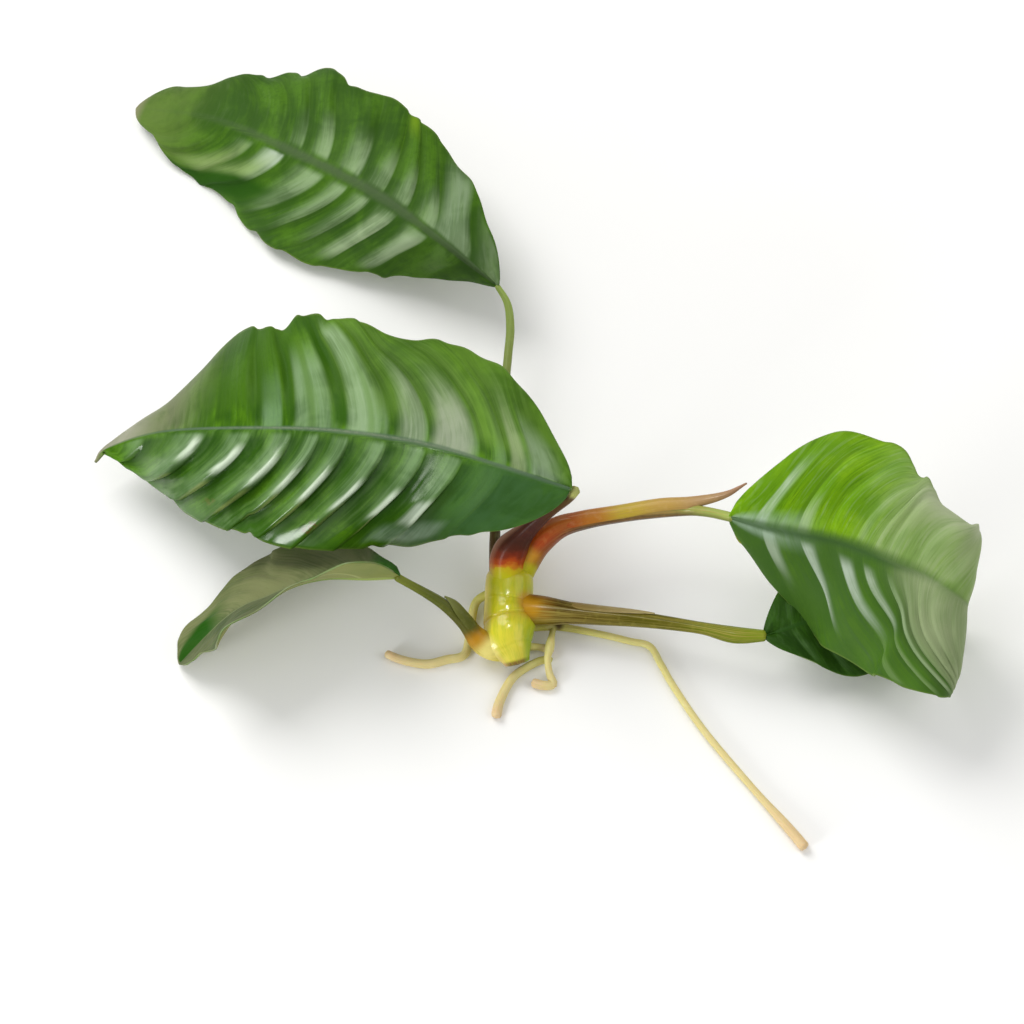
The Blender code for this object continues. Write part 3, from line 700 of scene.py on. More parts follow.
leafRight = {
    "route": [
        (36.5, 11.4, 22), (43.2, 8.8, 23.2), (54, 5.6, 24.6), (61.8, 1.5, 25.2), (67.7, -1.1, 25), (73.1, -4.9, 24.2),
        (79.5, -9.6, 23.7), (86, -14.4, 23.3), (92.4, -19.1, 22.7),
    ],
    "width": 37, "base": 0.6, "tip": 0.7, "farSide": -1, "arch": 0.06,
    "fold": {
        "line": (69.4, -3.8, 23.7), "ahead": (0.94, -0.3, 0.15), "axis": (0.23, 0.825, 0.52), "radius": 4.5,
        "angle": 108,
    },
    "farLean": [5, 5, 0, 0, 0, 0, 0], "nearLean": [-50, -45, -32, -12, -5, 0, 0],
    "farEdge": [
        0.87, 0.94, 1.01, 1.055, 1.085, 1.08, 1.02, 0.97, 0.79, 0.78, 0.6, 0.585, 0.7, 0.74, 0.75, 0.77, 0.79, 0.8,
        0.82, 0.84, 0.85,
    ],
    "nearEdge": [
        0.95, 0.92, 1.01, 1.09, 1.15, 1.16, 1.11, 1.05, 1.01, 1.01, 1.02, 1.02, 1.01, 1, 1, 1, 1, 1, 1, 1, 1,
    ],
    "nearBumps": [(0.022, 0.008, 0.7)], "farSweep": [3, 1, 0.42, 0.23, 0.12, 0.05, 0],
    "nearSweep": [1.1, 1.7, 1.85, 1.22, 0.52, 0.12, 0.05],
    "farGrooves": [0.065, 0.177, 0.255, 0.325, 0.375, 0.408, 0.485, 0.56, 0.65, 0.75],
    "nearGrooves": [0.085, 0.183, 0.278, 0.352, 0.42, 0.462, 0.51, 0.555, 0.61, 0.7, 0.8],
    "farRibHeight": [0.5, 0.7, 0.6, 0.5, 0.35, 0.2, 0], "nearRibHeight": [0.4, 0.7, 0.7, 0.5, 0.3, 0.2, 0],
    "farCrest": 0.3, "nearCrest": 0.25, "ribAtEdge": 0.25, "scallop": 0.2, "ripple": 0.3, "rippleCount": 5,
    "columns": 64, "rows": 340, "tanFrom": 0.98, "band": 0.13, "bandEnd": 0.06, "bandEnds": (0.35, 0.65),
    "farDark": 0.2, "nearDark": 0.6, "veinLight": 0.2, "veinDark": 0.5, "veinRelief": 0.45, "sheenRun": 0.6,
    "sheen": [
        ("far", (0.02, 0.1, 0.6, 0.9), 0.45, (0.3, 0.36, 1, 1)),
        ("near", (0.08, 0.16, 0.45, 0.9), 0.6, (-1, -1, 1, 1)),
    ],
    "tints": [
        # painted sheen: grey-white where the far half bends away and hangs
        tint("far", (0.4, 0.44, 0.29), 0.5, side=(0, 0.6, 1, 1), along=(0.38, 0.6, 1, 1)),
        tint("far", (0.27, 0.345, 0.16), 0.75, along=(0.29, 0.44, 1, 1)),
        tint("near", (0.038, 0.098, 0.016), 0.9, patchy=0.25),
        # painted sheen: the pale wedges on the near half
        tint("near", (0.44, 0.52, 0.42), 0.8, side=(0.06, 0.18, 0.55, 0.85), ribs=(1, 1.06, 1.25, 1.5), wedge=0.3),
        tint("near", (0.4, 0.48, 0.36), 0.6, side=(0.04, 0.12, 0.35, 0.7), ribs=(0, 0.06, 0.3, 0.5), wedge=0.2),
        tint("near", (0.44, 0.52, 0.42), 0.75, side=(0.1, 0.24, 0.4, 0.72), ribs=(2.05, 2.18, 2.5, 2.8), wedge=0.4),
        tint("near", (0.44, 0.52, 0.4), 0.7, side=(0.1, 0.22, 0.35, 0.65), ribs=(3.05, 3.15, 3.4, 3.7), wedge=0.4),
        # painted sheen on the far half near the midrib, with painted shade in the groove between
        tint("far", (0.42, 0.51, 0.4), 0.7, side=(0, 0, 0.6, 0.9), ribs=(-0.02, 0.04, 0.18, 0.36)),
        tint("far", (0.36, 0.47, 0.26), 0.6, side=(0, 0, 0.2, 0.5), ribs=(1, 1.06, 1.25, 1.5)),
        tint("far", (0.06, 0.15, 0.004), 0.7, side=(0.05, 0.2, 0.6, 0.8), ribs=(0.86, 0.94, 1, 1.05)),
        tint("near", (0.35, 0.33, 0.03), 0.9, side=(0.84, 0.94, 1, 1), along=(0.012, 0.018, 0.028, 0.036)),
        # painted sheen on the hanging part of the near half
        tint("near", (0.33, 0.39, 0.21), 0.75, ribs=(3.4, 6.4, 99, 99), patchy=0.3),
        tint("near", (0.33, 0.43, 0.24), 0.65, side=(0.1, 0.3, 0.85, 1), ribs=(4, 4.06, 4.2, 4.5)),
        tint("near", (0.22, 0.33, 0.13), 0.5, side=(0.6, 0.75, 0.95, 1), ribs=(2, 2.05, 2.15, 2.4)),
        tint("near", (0.25, 0.35, 0.16), 0.6, side=(0.5, 0.7, 0.9, 1), ribs=(3, 3.05, 3.15, 3.4)),
        tint("near", (0.04, 0.15, 0.002), 0.75, side=(0.5, 0.75, 1, 1), ribs=(4.45, 4.6, 4.85, 4.97)),
        # painted sheen on the far half where it bends away
        tint("far", (0.43, 0.46, 0.33), 0.6, side=(0.4, 0.9, 1, 1), ribs=(3, 5, 99, 99)),
        # painted sheen near the midrib at the base
        tint("both", (0.3, 0.41, 0.3), 0.7, side=(0, 0, 0.1, 0.3), along=(-1, -1, 0.08, 0.26)),
    ],
    "look": {
        # greens far lighter than the other blades': painted light, where the far half faces up and light shines
        # through it; a tint takes the near half back to a darker green
        "deepGreen": (0.11, 0.26, 0.003), "freshGreen": (0.18, 0.36, 0.004), "grooveGreen": (0.045, 0.12, 0.004),
        "midribGreen": (0.036, 0.086, 0.022), "sheenGreen": (0.36, 0.45, 0.26),
    },
}
makeBlade("leaf_right", leafRight)

leafLowerRight = {
    "route": [(42.5, -3.6, 8.3), (48.5, -1.5, 8.5), (56, 1.6, 7.6), (62, 6, 5.6), (66, 11.2, 2.8)], "width": 23,
    "base": 0.8, "tip": 0.6, "farSide": -1, "arch": 0.05, "farLean": [-15, -15, -20, -20, -20, -20, -20],
    "nearLean": [20, 20, 5, 0, 0, 0, 0], "farEdge": [1, 1], "nearEdge": [1.1, 0.9, 0.87, 0.92, 1, 1, 1, 1, 1, 1, 1],
    "farSweep": [0.6, 0.6], "nearSweep": [0.6, 0.6], "farGrooves": evenGrooves, "nearGrooves": evenGrooves,
    "farRibHeight": [0.3, 0.3], "nearRibHeight": [0.4, 0.4], "farCrest": 0.35, "nearCrest": 0.35, "ribAtEdge": 0.3,
    "scallop": 0.1, "ripple": 0.2, "rippleCount": 3, "columns": 48, "rows": 160, "tanFrom": 0.98, "farDark": 0.2,
    "nearDark": 0.3, "sheen": [("near", (0.3, 0.5, 0.8, 1), 0.15, (-1, -1, 1, 1))],
    "look": {
        "deepGreen": (0.019, 0.062, 0.004), "freshGreen": (0.034, 0.104, 0.007), "midribGreen": (0.024, 0.08, 0.008),
    },
}
makeBlade("leaf_lower_right", leafLowerRight)

leafLeft = {
    "route": [
        (-18, 3.5, 16), (-23.5, 3.2, 16), (-29.7, 3.8, 15), (-34.7, 3.2, 14), (-40, 1.8, 12), (-44, 1.2, 10),
        (-47.5, 0, 7.5), (-51.3, -2, 4), (-55.5, -5, 0.8),
    ],
    "width": 25, "base": 0.5, "tip": 0.7, "farSide": 1, "arch": 0, "farLean": [-60, -63, -65, -58, -60, -48, -40],
    "nearLean": [112, 110, 96, 84, 72, 70, 70],
    "farEdge": [
        1, 1, 1.1, 1.07, 1.08, 1.12, 1.13, 1.12, 1.12, 1.04, 1.03, 1.09, 1.11, 1.02, 0.99, 0.89, 0.81, 0.94, 1.15,
        1.4, 1.5,
    ],
    "nearEdge": [
        0.3, 0.75, 1.04, 1.1, 0.92, 0.8, 0.75, 0.6, 0.65, 0.7, 0.8, 1, 1.2, 1.35, 1.2, 0.98, 0.82, 0.77, 0.84, 1, 1,
    ],
    "farSweep": [1.6, 1.6], "nearSweep": [1.2, 1.2], "farGrooves": evenGrooves, "nearGrooves": evenGrooves,
    "farRibHeight": [0.2, 0.35, 0.2], "nearRibHeight": [0.1, 0.3, 0.2], "farCrest": 0.4, "nearCrest": 0.4,
    "ribAtEdge": 0.4, "scallop": 0, "ripple": 0.2, "rippleCount": 4, "thickness": 0.3, "columns": 56, "rows": 200,
    "tanFrom": 0.99, "band": 0.03, "farDark": 0.15, "nearDark": 0.1, "sheen": [],
    "tints": [
        # painted sheen: the grey-olive that the far half shows at its grazing angle
        tint("far", (0.19, 0.2, 0.088), 0.9, along=(0.05, 0.2, 1, 1)),
        tint("far", (0.012, 0.075, 0.001), 1, side=(0, 0, 0.45, 0.75), along=(0.7, 0.84, 1, 1), patchy=0.1),
        tint("near", (0.13, 0.14, 0.07), 0.85, along=(0.2, 0.4, 1, 1)),
    ],
    "look": {
        "roughness": 0.55, "underGreen": (0.23, 0.245, 0.06), "underVein": (0.38, 0.4, 0.16),
        "marginGreen": (0.17, 0.2, 0.07), "freshGreen": (0.03, 0.12, 0.006), "deepGreen": (0.014, 0.055, 0.004),
        "midribGreen": (0.2, 0.23, 0.11),
    },
}
makeBlade("leaf_left", leafLeft)

print("stage: stalks, rhizome and roots")

stemGrain = {  # scales, and how far the patches shift the edge of the underside, the crown and a joint
    "patches": 420.0, "around": 9.0, "spotDepth": 0.00005,
    "underWander": 0.5, "crownWander": 2.4, "jointWander": 0.9,
}
stemBasics = {  # what a stem has unless its own dictionary says otherwise
    "sides": 28, "step": 0.35, "startCap": 0.6, "endCap": 0.6,
    "ridge": 0.0, "ridgeCount": 6, "rings": (), "bumps": (),
}
stemLook = {
    "coatRoughness": 0.14, "specular": 0.14, "glow": 0.0, "spotScale": 900.0, "streakRun": 6.0,
    "streakDepth": 0.00015, "patches": (),
}
pictureHeight = tuple(value / mm for value in pictureUp)


def tubePoints(route, at, radius, angle):  # points round a route, and the way to the camera side, at 90 degrees
    run = runAt(route, at)
    side = unitOf(np.cross(run, facing))
    toward = unitOf(np.cross(side, run))
    points = routeAt(route, at) + side * (radius * np.cos(angle))[:, None]
    return points + toward * (radius * np.sin(angle))[:, None], toward


def stemPlacing(stem):
    length = routeLength(stem["route"])
    cap = [stem["startCap"] / length, stem["endCap"] / length]

    def placing(along, across):
        angle = np.pi * across
        radius = smoothCurve(stem["radii"], along)
        closing = np.sqrt(np.clip(1 - np.clip(1 - along / cap[0], 0, 1) ** 2, 0, 1))
        closing = closing * np.sqrt(np.clip(1 - np.clip(1 - (1 - along) / cap[1], 0, 1) ** 2, 0, 1))
        ridge = stem["ridge"] * np.clip(4 * along - 0.6, 0, 1)
        radius = radius * (1 + ridge * np.cos(stem["ridgeCount"] * angle + 3 * along))
        for ring in stem["rings"]:  # leaf scars: a groove with a low swelling above it
            centre = ring["at"] + ring["slant"] * np.cos(angle + ring["turn"])
            offset = (along - centre) / ring["half"]
            scar = 0.5 * np.exp(-((offset - 2.2) ** 2)) - np.exp(-(offset**2))
            radius = radius + ring["depth"] * scar
        for bump in stem["bumps"]:  # soft swellings on one side
            turn = np.mod(angle - np.radians(bump["angle"]) + np.pi, 2 * np.pi) - np.pi
            swell = np.exp(-(((along - bump["at"]) / bump["half"]) ** 2) - (turn / bump["spread"]) ** 2)
            radius = radius + bump["height"] * swell
        points = tubePoints(stem["route"], along, radius * closing, angle)[0]
        return points, np.stack([along, np.cos(angle), np.sin(angle)], axis=1)

    return placing


def sheathPlacing(sheath):  # part of a tube that opens and narrows to a free tip
    def placing(along, across):
        half = np.radians(smoothCurve(sheath["wrap"], along))
        angle = np.radians(smoothCurve(sheath["turn"], along)) + across * half
        radius = smoothCurve(sheath["radii"], along)
        points, toward = tubePoints(sheath["route"], along, radius, angle)
        points = points + toward * smoothCurve(sheath["lift"], along)[:, None]
        return points, np.stack([along, np.cos(angle), np.sin(angle)], axis=1)

    return placing


# Stops run from base to tip. A "streak", "spot", tone or painted rim light is how strong it is and its colour, and
# "underSide" says where the stops below take over, from the left edge at -1 to the right edge at 1.
def stemMaterial(name, ownLook):
    material, shader = newMaterial(name)
    look = {**stemLook, **ownLook}
    own, parts = ownPlace(shader)
    along, side = parts[:2]
    place = objectPlace(shader)
    patches = noiseOf(place, stemGrain["patches"], 3.0, 0.55, 0.4)
    spots = noiseOf(place, look["spotScale"], 2.0, 0.6)
    stretch = (look["streakRun"], stemGrain["around"], stemGrain["around"])
    streaks = noiseOf(stretched(own, stretch), 1.0, 3.0, 0.6)
    layers = []
    if "underStops" in look:
        wander = stemGrain["underWander"]
        low, high = (value + wander / 2 for value in look["underSide"])
        under = between(mathNode("MULTIPLY_ADD", patches, wander, side), low, high)
        layers.append((under, colorRamp(along, look["underStops"])))
    amount, color = look["streak"]
    layers.append((between(streaks, 0.4, 0.7, 0.0, amount), color))
    if "crown" in look:
        wander = stemGrain["crownWander"]
        height = mathNode("SUBTRACT", vectorNode("DOT_PRODUCT", place, pictureHeight), wander / 2)
        height = mathNode("MULTIPLY_ADD", patches, wander, height)
        joined = colorRamp(between(height, crown["from"], crown["to"]), crown["stops"])
        layers.append((window(height, look["crown"]), joined))
    # painted rim light: a pale band along the edge on the left as seen from the camera
    if "leftRimLight" in look:
        amount, color = look["leftRimLight"]
        layers.append((between(side, -0.6, -1.0, 0.0, amount), color))
    if "rightTone" in look:
        amount, color = look["rightTone"]
        vivid = between(side, 0.45, 0.9, 0.0, amount)
        layers.append((times(vivid, between(along, 0.05, 0.5, 1.0, 0.3)), color))
    for patch in look["patches"]:
        apart = vectorNode("DISTANCE", place, tuple(mm * value for value in patch["place"]))
        apart = mathNode("MULTIPLY_ADD", patches, stemGrain["jointWander"] * mm, apart)
        near, far = patch["reach"]
        layers.append((between(apart, near * mm, far * mm, patch["amount"], 0.0), patch["color"]))
    amount, color = look["spot"]
    layers.append((between(spots, 0.5, 0.75, 0.0, amount), color))
    feed(shader, {
        "Base Color": layered(colorRamp(along, look["stops"]), layers),
        "Roughness": mathNode("MULTIPLY_ADD", spots, 0.2, look["roughness"] - 0.1),
        "Coat Weight": look["wet"],
        "Coat Roughness": look["coatRoughness"],
        "Specular IOR Level": look["specular"],
        "Subsurface Weight": look["glow"],
        "Subsurface Radius": (0.0016, 0.001, 0.0004),
        "Subsurface Scale": 1.0,
    })
    addBump(shader, [(streaks, look["streakDepth"], 0.5), (spots, stemGrain["spotDepth"], 0.4)])
    return material


def makeStem(name, own, nodes):
    stem = {**stemBasics, **own}
    rings = max(30, round(routeLength(stem["route"]) / stem["step"]))
    piece = wrapGrid(name, stem["sides"], rings, stemPlacing(stem), lowest["stem"], closed=True)
    settle(piece, nodes, [stemMaterial(name + "_skin", stem["look"])])


def makeSheath(name, sheath):
    piece = wrapGrid(name, 28, sheath["rows"], sheathPlacing(sheath), lowest["sheath"])
    addWall(piece, sheath["thickness"])
    settle(piece, [sheath["node"]], [stemMaterial(name + "_skin", sheath["look"])])


# The growing point: heights up the picture in millimetres and the colours between them. A look's own "crown" is the
# window of such heights where these colours show.
crown = {
    "from": 10, "to": 18,
    "stops": [
        (0, 0.51, 0.49, 0.008), (0.14, 0.54, 0.42, 0.01), (0.24, 0.52, 0.17, 0.01), (0.38, 0.38, 0.055, 0.006),
        (0.58, 0.17, 0.022, 0.006), (0.8, 0.075, 0.016, 0.007), (1, 0.05, 0.015, 0.008),
    ],
}
joints = {  # colours round the places where stalks leave the rhizome, the same on both pieces
    "lowerRight": {"place": (3.4, 3.2, 6.6), "reach": (1.8, 3.9), "color": (0.5, 0.25, 0.008), "amount": 0.95},
    "lowerRightBrown": {"place": (4.6, 4.3, 6.2), "reach": (1.1, 2.8), "color": (0.15, 0.05, 0.004), "amount": 0.9},
    "leftYellow": {"place": (-3.4, -3.6, 4.4), "reach": (1.7, 3.4), "color": (0.8, 0.7, 0.22), "amount": 0.95},
    "left": {"place": (-5.4, -2.4, 5.8), "reach": (0.8, 3.2), "color": (0.6, 0.25, 0.006), "amount": 0.9},
    "right": {"place": (4, 11.6, 9.8), "reach": (0.8, 2.6), "color": (0.6, 0.3, 0.015), "amount": 0.7},
    "rightCollar": {"place": (3, 8.6, 7.4), "reach": (1.6, 3.4), "color": (0.51, 0.49, 0.006), "amount": 0.95},
}
rhizomeStem = {
    "route": [(1.5, -6, 2.5), (1, -4.4, 3.3), (0.2, -1.6, 3.8), (-0.1, 2, 4), (0, 6.5, 5), (0.2, 11, 7)],
    "radii": [2, 2.5, 3.2, 3.8, 4.1, 4.2, 4.2, 4.15, 4.1, 4.1, 4.1, 4, 3.8, 3.2], "sides": 80, "step": 0.12,
    "startCap": 0.35, "endCap": 2.4,
    "rings": [
        {"at": 0.16, "half": 0.01, "depth": 0.06, "slant": 0.016, "turn": 0.5},
        {"at": 0.45, "half": 0.012, "depth": 0.13, "slant": 0.045, "turn": 0.2},
        {"at": 0.64, "half": 0.009, "depth": 0.06, "slant": 0.02, "turn": 2.5},
    ],
    "bumps": [
        {"at": 0.42, "half": 0.09, "angle": 10, "spread": 0.6, "height": 0.45},
        {"at": 0.2, "half": 0.1, "angle": 178, "spread": 0.9, "height": 1.2},
        {"at": 0.3, "half": 0.05, "angle": 75, "spread": 0.6, "height": 0.22},
        {"at": 0.53, "half": 0.05, "angle": 95, "spread": 0.5, "height": 0.15},
        {"at": 0.12, "half": 0.04, "angle": 60, "spread": 0.5, "height": 0.2},
    ],
    "look": {
        "stops": [
            (0, 0.11, 0.045, 0.01), (0.036, 0.2, 0.09, 0.015), (0.062, 0.64, 0.56, 0.05), (0.3, 0.65, 0.6, 0.03),
            (0.43, 0.56, 0.46, 0.024), (0.49, 0.58, 0.54, 0.012), (0.8, 0.51, 0.5, 0.006), (1, 0.52, 0.5, 0.008),
        ],
        "streak": (0.4, (0.3, 0.4, 0.004)), "spot": (0.18, (0.62, 0.59, 0.14)),
        "leftRimLight": (0.55, (0.62, 0.42, 0.14)), "rightTone": (0.75, (0.2, 0.38, 0.004)), "crown": (9.2, 11, 99, 99),
        "patches": [joints["rightCollar"], joints["lowerRight"], joints["leftYellow"]], "streakRun": 8,
        "roughness": 0.32, "wet": 0.5, "coatRoughness": 0.12, "glow": 0.18, "spotScale": 240, "streakDepth": 0.0001,
    },
}
makeStem("rhizome_body", rhizomeStem, ["rhizome"])

stalks = {
    "stalk_upper": {
        "route": [
            (-2.1, 9, 5.7), (-2.4, 16, 6.6), (-2, 23, 7.4), (-1.4, 32.5, 8.2), (-0.9, 42.5, 9), (-0.2, 51, 10),
            (0.2, 56, 11), (-0.3, 60.4, 12.3), (-2.3, 63.9, 13.3),
        ],
        "radii": [1.3, 0.95, 0.8, 0.75, 0.75, 0.75, 0.75, 0.75, 0.5], "ridge": 0.04,
        "look": {
            "stops": [
                (0, 0.06, 0.02, 0.01), (0.25, 0.075, 0.045, 0.015), (0.5, 0.17, 0.2, 0.045), (1, 0.25, 0.34, 0.07),
            ],
            "streak": (0.3, (0.13, 0.17, 0.035)), "spot": (0.15, (0.33, 0.4, 0.12)), "roughness": 0.42, "wet": 0.1,
        },
    },
    "stalk_front": {
        "route": [
            (-0.6, 5.5, 4.8), (-0.4, 8.4, 7), (-0.2, 10.8, 9.5), (1.6, 12.3, 13), (5.8, 13.8, 18.5),
            (9.5, 13.4, 24.5), (10.9, 12.3, 29.4),
        ],
        "radii": [2.6, 2.9, 2.8, 1.7, 1.25, 1, 0.9, 0.9], "ridge": 0.04, "endCap": 0.9,
        "look": {
            "stops": [
                (0, 0.06, 0.016, 0.009), (0.5, 0.055, 0.014, 0.01), (0.9, 0.1, 0.06, 0.02), (0.97, 0.4, 0.43, 0.12),
                (1, 0.42, 0.45, 0.14),
            ],
            "streak": (0.35, (0.11, 0.03, 0.012)), "spot": (0.1, (0.2, 0.08, 0.03)), "roughness": 0.42, "wet": 0.1,
            "specular": 0.08, "coatRoughness": 0.2, "crown": (-99, -99, 16.5, 18),
            "leftRimLight": (0.5, (0.42, 0.2, 0.12)),
        },
    },
    "stalk_right": {
        "route": [
            (0.8, 6.8, 4.6), (1.6, 9, 5.8), (3, 11.4, 7.6), (5, 13.4, 10), (8.5, 15.2, 12), (13, 15.9, 13.2),
            (20.5, 16, 15.2), (28.5, 15.3, 17.5), (32.5, 13.9, 19.5), (37.2, 11.2, 22.1),
        ],
        "radii": [2.2, 2.4, 2.3, 1.8, 1.45, 1.3, 1.15, 1, 0.85, 0.85], "ridge": 0.04,
        "look": {
            "stops": [
                (0, 0.47, 0.44, 0.008), (0.1, 0.48, 0.43, 0.01), (0.15, 0.56, 0.3, 0.015), (0.21, 0.42, 0.06, 0.006),
                (0.34, 0.32, 0.08, 0.012), (0.48, 0.38, 0.24, 0.03), (0.7, 0.36, 0.26, 0.07), (0.8, 0.26, 0.3, 0.06),
                (1, 0.3, 0.4, 0.08),
            ],
            "underStops": [
                (0, 0.46, 0.28, 0.015), (0.25, 0.25, 0.05, 0.015), (0.4, 0.085, 0.04, 0.015),
                (0.75, 0.09, 0.06, 0.02), (0.9, 0.18, 0.23, 0.045),
            ],
            "underSide": (0.1, 0.75), "streak": (0.35, (0.43, 0.2, 0.04)), "spot": (0.12, (0.6, 0.38, 0.12)),
            "roughness": 0.38, "wet": 0.25, "patches": [joints["rightCollar"], joints["right"]],
        },
    },
    "stalk_lower_right": {
        "route": [
            (0.4, 3.4, 4.4), (2, 3.2, 4.8), (6, 2.7, 5.5), (15.3, 1.2, 6.5), (23.6, -0.2, 7.4), (32, -1.9, 8),
            (37.6, -3.4, 8.3), (43, -3.6, 8.4),
        ],
        "radii": [2.9, 2.5, 1.8, 1.5, 1.3, 1.1, 1, 1.35, 0.9], "ridge": 0.07, "ridgeCount": 9,
        "look": {
            "stops": [
                (0, 0.5, 0.43, 0.014), (0.05, 0.5, 0.36, 0.012), (0.085, 0.42, 0.21, 0.008),
                (0.13, 0.24, 0.11, 0.005), (0.2, 0.075, 0.042, 0.001), (0.6, 0.095, 0.088, 0.002),
                (0.8, 0.12, 0.16, 0.004), (1, 0.19, 0.27, 0.008),
            ],
            "underStops": [
                (0, 0.42, 0.3, 0.01), (0.2, 0.07, 0.045, 0.004), (0.6, 0.075, 0.085, 0.004), (1, 0.13, 0.19, 0.008),
            ],
            "underSide": (0.3, 0.9), "streak": (0.75, (0.4, 0.32, 0.07)), "spot": (0.2, (0.34, 0.3, 0.05)),
            "roughness": 0.42, "wet": 0.14, "coatRoughness": 0.2, "specular": 0.05, "streakRun": 3,
            "patches": [joints["lowerRight"], joints["lowerRightBrown"]],
        },
    },
    "stalk_left": {
        "route": [
            (-0.6, -3.4, 2.9), (-2.6, -3.3, 3.5), (-5, -2.5, 5), (-7.5, -0.8, 8), (-10.7, 0.8, 11),
            (-13.9, 1.8, 13.5), (-18.9, 3.5, 16.2),
        ],
        "radii": [2, 2.2, 1.55, 1.15, 0.95, 0.8, 0.7, 0.7], "ridge": 0.05,
        "look": {
            "stops": [
                (0, 0.64, 0.56, 0.08), (0.13, 0.56, 0.42, 0.02), (0.24, 0.3, 0.2, 0.012), (0.3, 0.11, 0.085, 0.004),
                (0.38, 0.07, 0.072, 0.003), (0.7, 0.08, 0.1, 0.004), (1, 0.15, 0.18, 0.014),
            ],
            "streak": (0.4, (0.14, 0.14, 0.025)), "spot": (0.15, (0.24, 0.25, 0.06)), "roughness": 0.44, "wet": 0.15,
            "patches": [joints["leftYellow"], joints["left"]],
        },
    },
}
for name, stem in stalks.items():
    makeStem(name + "_stem", stem, [name])

sheaths = {  # half the angle that is wrapped and where its middle lies, in degrees
    "stalk_right_sheath": {
        "node": "stalk_right",
        "route": [
            (5.4, 13.6, 10.3), (8.7, 15.2, 12.1), (13, 15.95, 13.3), (19, 16.15, 15), (25.3, 16.1, 17.4),
            (30.5, 15.9, 18.8), (36, 16.6, 20.2), (39.6, 18.4, 21),
        ],
        "radii": [1.3, 1.55, 1.46, 1.4, 1.3, 1.1, 0.7, 0.15], "wrap": [60, 74, 78, 78, 80, 84, 74, 40],
        "turn": [128, 134, 134, 134, 134, 132, 120, 110], "lift": [0, 0], "rows": 150, "thickness": 0.22,
        "look": {
            "stops": [
                (0, 0.4, 0.06, 0.006), (0.14, 0.34, 0.055, 0.007), (0.28, 0.42, 0.15, 0.012),
                (0.42, 0.44, 0.32, 0.022), (0.62, 0.43, 0.27, 0.055), (0.8, 0.4, 0.25, 0.11), (1, 0.38, 0.21, 0.13),
            ],
            "streak": (0.35, (0.33, 0.18, 0.06)), "spot": (0.15, (0.6, 0.42, 0.2)), "roughness": 0.42, "wet": 0.15,
        },
    },
    "stalk_lower_right_sheath": {
        "node": "stalk_lower_right",
        "route": [(4.5, 3.2, 5.2), (9, 2.4, 5.8), (14, 1.55, 6.4), (19, 0.75, 7), (24.4, -0.1, 7.6)],
        "radii": [1.72, 1.7, 1.54, 1.4, 1.25], "wrap": [4, 26, 36, 30, 4], "turn": [140, 146, 150, 150, 146],
        "lift": [0, 0.05], "rows": 110, "thickness": 0.2,
        "look": {
            "stops": [(0, 0.26, 0.14, 0.012), (0.3, 0.3, 0.21, 0.05), (1, 0.42, 0.35, 0.15)],
            "streak": (0.5, (0.18, 0.11, 0.03)), "spot": (0.15, (0.5, 0.42, 0.24)), "roughness": 0.45, "wet": 0.1,
            "streakRun": 3,
        },
    },
    "stalk_left_sheath": {
        "node": "stalk_left",
        "route": [(-5.6, -1.9, 6.1), (-6.7, -1.1, 7.5), (-8, -0.2, 9.2), (-9.4, 1, 10.7), (-10.9, 1.9, 11.9)],
        "radii": [1.2, 1.18, 1.12, 0.9, 0.25], "wrap": [10, 60, 75, 70, 30], "turn": [60, 50, 40, 40, 45],
        "lift": [0, 0.1], "rows": 80, "thickness": 0.2,
        "look": {
            "stops": [(0, 0.08, 0.08, 0.005), (0.4, 0.085, 0.095, 0.008), (1, 0.16, 0.175, 0.045)],
            "streak": (0.4, (0.1, 0.1, 0.02)), "spot": (0.15, (0.3, 0.3, 0.11)), "roughness": 0.45, "wet": 0.1,
            "patches": [joints["left"]],
        },
    },
}
for name, sheath in sheaths.items():
    makeSheath(name, sheath)

keels = {  # the midrib standing out under each blade
    "leaf_upper": [(-2, 64, 12.8), (-12.3, 71.8, 15.7), (-23, 80.9, 16.2), (-38, 92.1, 13.7), (-54.5, 104, 8.7)],
    "leaf_front": [
        (9.6, 12.5, 29.3), (-1.5, 15.9, 30.8), (-14.5, 20.9, 29.8), (-29.5, 24.9, 27.4), (-45, 28.3, 22.4),
        (-59.5, 31.8, 14.9),
    ],
    "leaf_right": [(36.9, 11.5, 21.4), (43.2, 9.1, 22.5), (54, 6, 23.9), (61.8, 1.9, 24.5), (67.7, -0.7, 24.3)],
    "leaf_lower_right": [(42.9, -3.3, 7.6), (48.5, -1.2, 7.9), (56, 1.9, 7), (62, 6.3, 5)],
    "leaf_left": [
        (-18.3, 3.9, 15.4), (-23.5, 3.6, 15.4), (-29.7, 4.2, 14.4), (-34.7, 3.6, 13.4), (-40, 2.2, 11.4),
        (-44, 1.6, 9.4),
    ],
}
keelShape = {
    "radii": [0.48, 0.46, 0.42, 0.35, 0.28, 0.12], "sides": 16, "step": 0.6,
    "look": {
        "stops": [(0, 0.33, 0.4, 0.11), (0.5, 0.23, 0.31, 0.09), (1, 0.15, 0.22, 0.06)],
        "streak": (0.3, (0.18, 0.25, 0.06)), "spot": (0.15, (0.38, 0.43, 0.18)), "roughness": 0.5, "wet": 0,
    },
}
for name, route in keels.items():
    makeStem(name + "_keel", {"route": route, **keelShape}, [name])

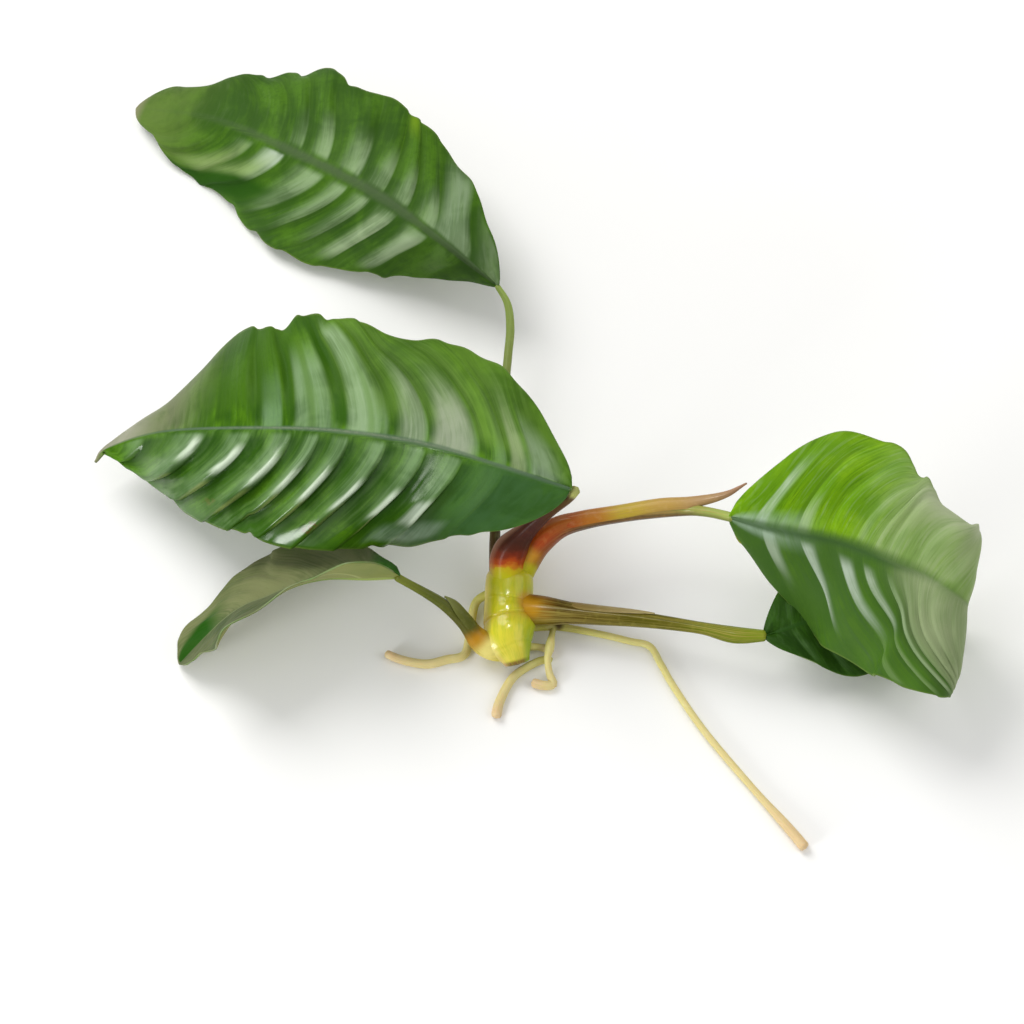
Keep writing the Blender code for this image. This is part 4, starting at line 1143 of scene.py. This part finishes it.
rootShape = {
    "sides": 20, "step": 0.3,
    "look": {
        "stops": [(0, 0.5, 0.48, 0.1), (0.3, 0.68, 0.62, 0.24), (0.75, 0.7, 0.59, 0.28), (1, 0.7, 0.51, 0.29)],
        "streak": (0.3, (0.5, 0.45, 0.11)), "spot": (0.3, (0.78, 0.7, 0.4)), "roughness": 0.5, "wet": 0.05,
        "glow": 0.2, "spotScale": 480,
        "patches": [{"place": (8.3, 1.9, 1.7), "reach": (1, 1.7), "color": (0.07, 0.035, 0.012), "amount": 0.9}],
    },
}
roots = {
    "root_left": {
        "route": [
            (-3, 7.6, 3.2), (-5.6, 6.4, 1.6), (-6.5, 2.5, 0.85), (-7.4, -3, 0.85), (-10.6, -4.2, 0.85),
            (-14, -5, 0.85), (-18.1, -4.2, 0.85), (-21, -2.9, 0.85),
        ],
        "radii": [0.7, 0.75, 0.75, 0.75, 0.8, 0.75, 0.7],
    },
    "root_long": {
        "route": [
            (3.4, 1, 2.6), (8.6, 1.8, 1.3), (15.4, 0.7, 0.8), (20.4, -0.6, 0.75), (23.8, -1.6, 0.75),
            (25.6, -5, 0.75), (27.8, -9.5, 0.75), (32.6, -17.6, 0.75), (39.7, -27.3, 0.75), (45.8, -35.2, 0.85),
            (48.3, -38.7, 0.95),
        ],
        "radii": [0.7, 0.65, 0.6, 0.6, 0.6, 0.6, 0.6, 0.6, 0.6, 0.6, 0.8, 0.9],
    },
    "root_side": {
        "route": [(2.8, -2.4, 2.2), (5.2, -2, 1.2), (7.6, -2.5, 0.8)], "radii": [0.7, 0.65, 0.6, 0.75, 0.95],
    },
    "root_front": {
        "route": [(7.4, -4, 0.85), (4.8, -4.6, 0.85), (0.8, -7.4, 0.85), (-1.5, -11.9, 0.9), (-2.2, -15.1, 0.95)],
        "radii": [0.65, 0.7, 0.75, 0.8, 0.9],
    },
    "root_hooked": {
        "route": [
            (7.5, 1.6, 1.3), (7.3, 0.2, 2), (6.9, -2.4, 2.7), (6.5, -4.9, 2.5), (6.8, -7, 1.3), (7.4, -8.8, 0.85),
            (5.8, -9, 0.85), (3.7, -8.4, 0.85),
        ],
        "radii": [0.5, 0.55, 0.8, 0.6, 0.6, 0.7, 0.8, 0.8],
    },
}
for name, root in roots.items():
    makeStem(name + "_strand", {**root, **rootShape}, [name])

print("stage: finish")
